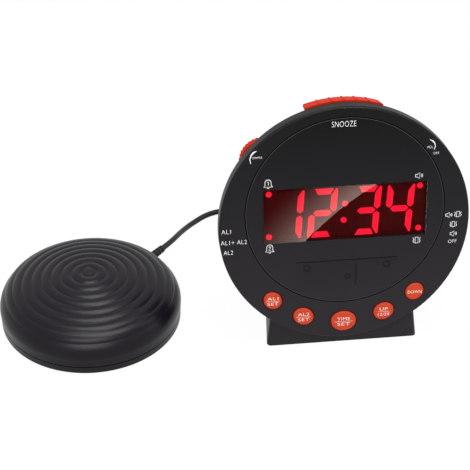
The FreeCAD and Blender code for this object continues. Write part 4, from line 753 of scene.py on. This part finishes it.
def face_lettering():
    """The printed words and signs round the window."""
    print_text("word_snooze", "SNOOZE", -8.5, 5.3, 62.8, 3.3)
    print_text("word_alarm_1", "AL1", -71.5, -66.1, 0.9, 2.65)
    print_text("word_both_alarms", "AL1+ AL2", -72.0, -57.0, -6.1, 2.65)
    print_text("word_alarm_2", "AL2", -70.5, -65.1, -12.4, 2.65)
    print_text("word_volume", "VOL", 46.2, 49.7, 45.9, 1.5)
    print_text("word_volume_off", "OFF", 49.9, 53.3, 42.0, 1.5)
    print_text("word_mode_off", "OFF", 61.2, 66.2, -14.2, 2.1)
    print_text("word_dimmer", "DIMMER", -53.3, -47.7, 45.5, 1.2)
    print_sign("mode_sound_and_shake_1", sound_lines, 60.9, 2.8)
    print_sign("mode_sound_and_shake_2", shaking_lines, 66.2, 3.0)
    print_sign("mode_shake", shaking_lines, 63.8, -3.2)
    print_sign("mode_sound", sound_lines, 64.1, -9.3)
    bell(-44.5, 29.1, "1")
    bell(-43.8, -11.6, "2")
    print_sign("sign_sound", sound_lines, 42.3, 28.75, 1.1)
    print_sign("sign_shake", shaking_lines, 42.4, -12.0, 1.1)
    swoosh("dimmer_swoosh", dimmer_bow, 1.1)
    swoosh("volume_swoosh", volume_bow, 0.85)


# The window's edge, with its painted groove shade and painted highlight, and what shows faintly through its
# smoke

faint_stroke = 0.4
board_edges = [[(-28.4, -21.9), (31.2, -21.9)], [(7.0, -24.7), (7.0, -38.7)]]
board_rounds = {
    "left_boss": (-22.0, -25.8, 1.9),
    "right_boss": (25.1, -26.2, 1.9),
    "alert_light": (2.0, -32.7, 1.4),
}
groove_radius = window_radius + 0.4
groove_width = 0.6
edge_radius = window_radius - 0.05
edge_width = 0.3


def window_lines():
    """A line of painted shade in the groove round the window, and a light line of painted highlight on its
    edge.
    """
    round_line("window_groove", 0, window_rise, groove_radius, groove_radius, 0, groove_width, painted_groove_shade)
    round_line("window_edge", 0, window_rise, edge_radius, edge_radius, 0, edge_width, painted_edge_highlight)


def alert_board_marks():
    """The edges of the alert-light board, as they show faintly through the smoked window."""
    print_strokes("alert_board_edges", board_edges, faint_stroke, faint_edge)
    for name, (x, y, radius) in board_rounds.items():
        round_line(name + "_edge", x, y, radius, radius, 0, faint_stroke, faint_edge)


# The display's clear film and the bright card that it mirrors, which ends at a round edge

film_depth = 0.17 * mm
film_thickness = 0.02 * mm
card_distance = 3 * mm
card_shift_right = 0.32
card_shift_up = -1.44
glare_centre_right = 106.2
glare_centre_up = -126.0
glare_radius = 174.6
glare_fade = 31.0
glare_strength = 3.7
glare_tone = (1, 0.76, 0.66, 1)


def display_patch(shift_right, shift_up, height, thickness):
    """The place and size of a flat piece as large as the display."""
    middle_right = (display_left + display_right) / 2 + shift_right
    middle_up = (display_bottom + display_top) / 2 + shift_up
    size = Matrix.Diagonal(((display_right - display_left) * mm, (display_top - display_bottom) * mm,
                            thickness, 1))
    return face_place @ Matrix.Translation((middle_right * mm, middle_up * mm, height)) @ size


def add_display_film():
    """The polished clear film on the window in front of the display."""
    shape = bmesh.new()
    bmesh.ops.create_cube(shape, size=1)
    place = display_patch(0, 0, -film_depth, film_thickness)
    add_piece("display_film", shape_mesh(shape, "display_film", place), window_film)


def card_glow():
    """Light that is strongest at the card's round edge, and fades away from it."""
    finish = Finish("mirrored_card")
    right, up = finish.face_coordinates()
    across = right - card_shift_right - glare_centre_right
    along = up - card_shift_up - glare_centre_up
    beyond = across.maths("SQRT", across * across + along * along) - glare_radius
    fade = beyond.maths("SUBTRACT", 1.0, beyond / glare_fade, clamp=True)
    strength = fade * fade * beyond.above(0.0) * glare_strength
    return finish.close(finish.node("ShaderNodeEmission", None, {"Color": glare_tone, "Strength": strength}))


def add_mirrored_card():
    """A glowing card close to the display, seen only as a reflection in its film."""
    shape = bmesh.new()
    bmesh.ops.create_grid(shape, x_segments=1, y_segments=1, size=0.5)
    place = display_patch(card_shift_right, card_shift_up, card_distance, 1)
    mesh = shape_mesh(shape, "mirrored_card", place)
    mesh.materials.append(card_glow())
    card = link_object("mirrored_card", mesh)
    card.visible_camera = False
    card.visible_diffuse = False
    card.visible_shadow = False
    card.visible_transmission = False
    receivers = bpy.data.collections.new("mirrored_in")
    receivers.objects.link(bpy.data.objects["display_film"])
    card.light_linking.receiver_collection = receivers


# Buttons: each one's angle round the face, half its length and width, its words, how wide they are, and
# half the length of the line between them

button_marks = {
    "button_alarm_1": (-43.0, 5.6, 5.1, ("AL1", "SET"), 6.4, 4.2),
    "button_alarm_2": (-22.8, 6.15, 5.3, ("AL2", "SET"), 6.8, 4.35),
    "button_time": (0.0, 7.5, 6.35, ("TIME", "SET"), 7.6, 5.55),
    "button_up": (22.8, 6.15, 5.3, ("UP", "12/24"), 6.6, 3.45),
    "button_down": (43.0, 5.6, 5.1, ("DOWN",), 8.2, 0),
}
button_circle_radius = 62.0
button_print_lift = 1.24 * mm
ring_reach = 0.55
ring_width = 0.7
row_rise = 1.75
row_height = 1.95
single_row_height = 1.9
narrow_word_share = {"UP": 0.75}
row_line_width = 0.18


def button_lettering():
    """The rings of painted shade in the gaps round the five buttons, and on the caps the words, with a thin
    line between two rows.
    """
    for name, (angle, half_length, half_width, words, width, half_line) in button_marks.items():
        body = name + "_body"
        a = math.radians(angle)
        x = button_circle_radius * math.sin(a)
        y = -button_circle_radius * math.cos(a)
        # A dark red ring of painted shade in the gap round the button.
        round_line(name + "_ring", x, y, half_length + ring_reach, half_width + ring_reach, a, ring_width,
                   painted_gap_shade)
        two_rows = len(words) == 2
        rows = ((row_rise, row_height), (-row_rise, row_height)) if two_rows else ((0.0, single_row_height),)
        for word, (rise, height) in zip(words, rows):
            half = width / 2 * narrow_word_share.get(word, 1.0)
            print_text(name + "_" + word.replace("/", "_").lower(), word, x - half, x + half, y + rise,
                       height, button_ink, button_print_lift, body, button_letter_weight)
        if two_rows:
            print_strokes(name + "_line", [[(x - half_line, y), (x + half_line, y)]], row_line_width,
                          button_ink, button_print_lift, body)


add_camera()
add_lead()
add_power_pin()
finish_nodes()
face_lettering()
button_lettering()
window_lines()
alert_board_marks()
add_display_film()
add_mirrored_card()
add_floor()
add_sky()
add_softboxes()
bpy.context.scene.view_settings.view_transform = "Standard"
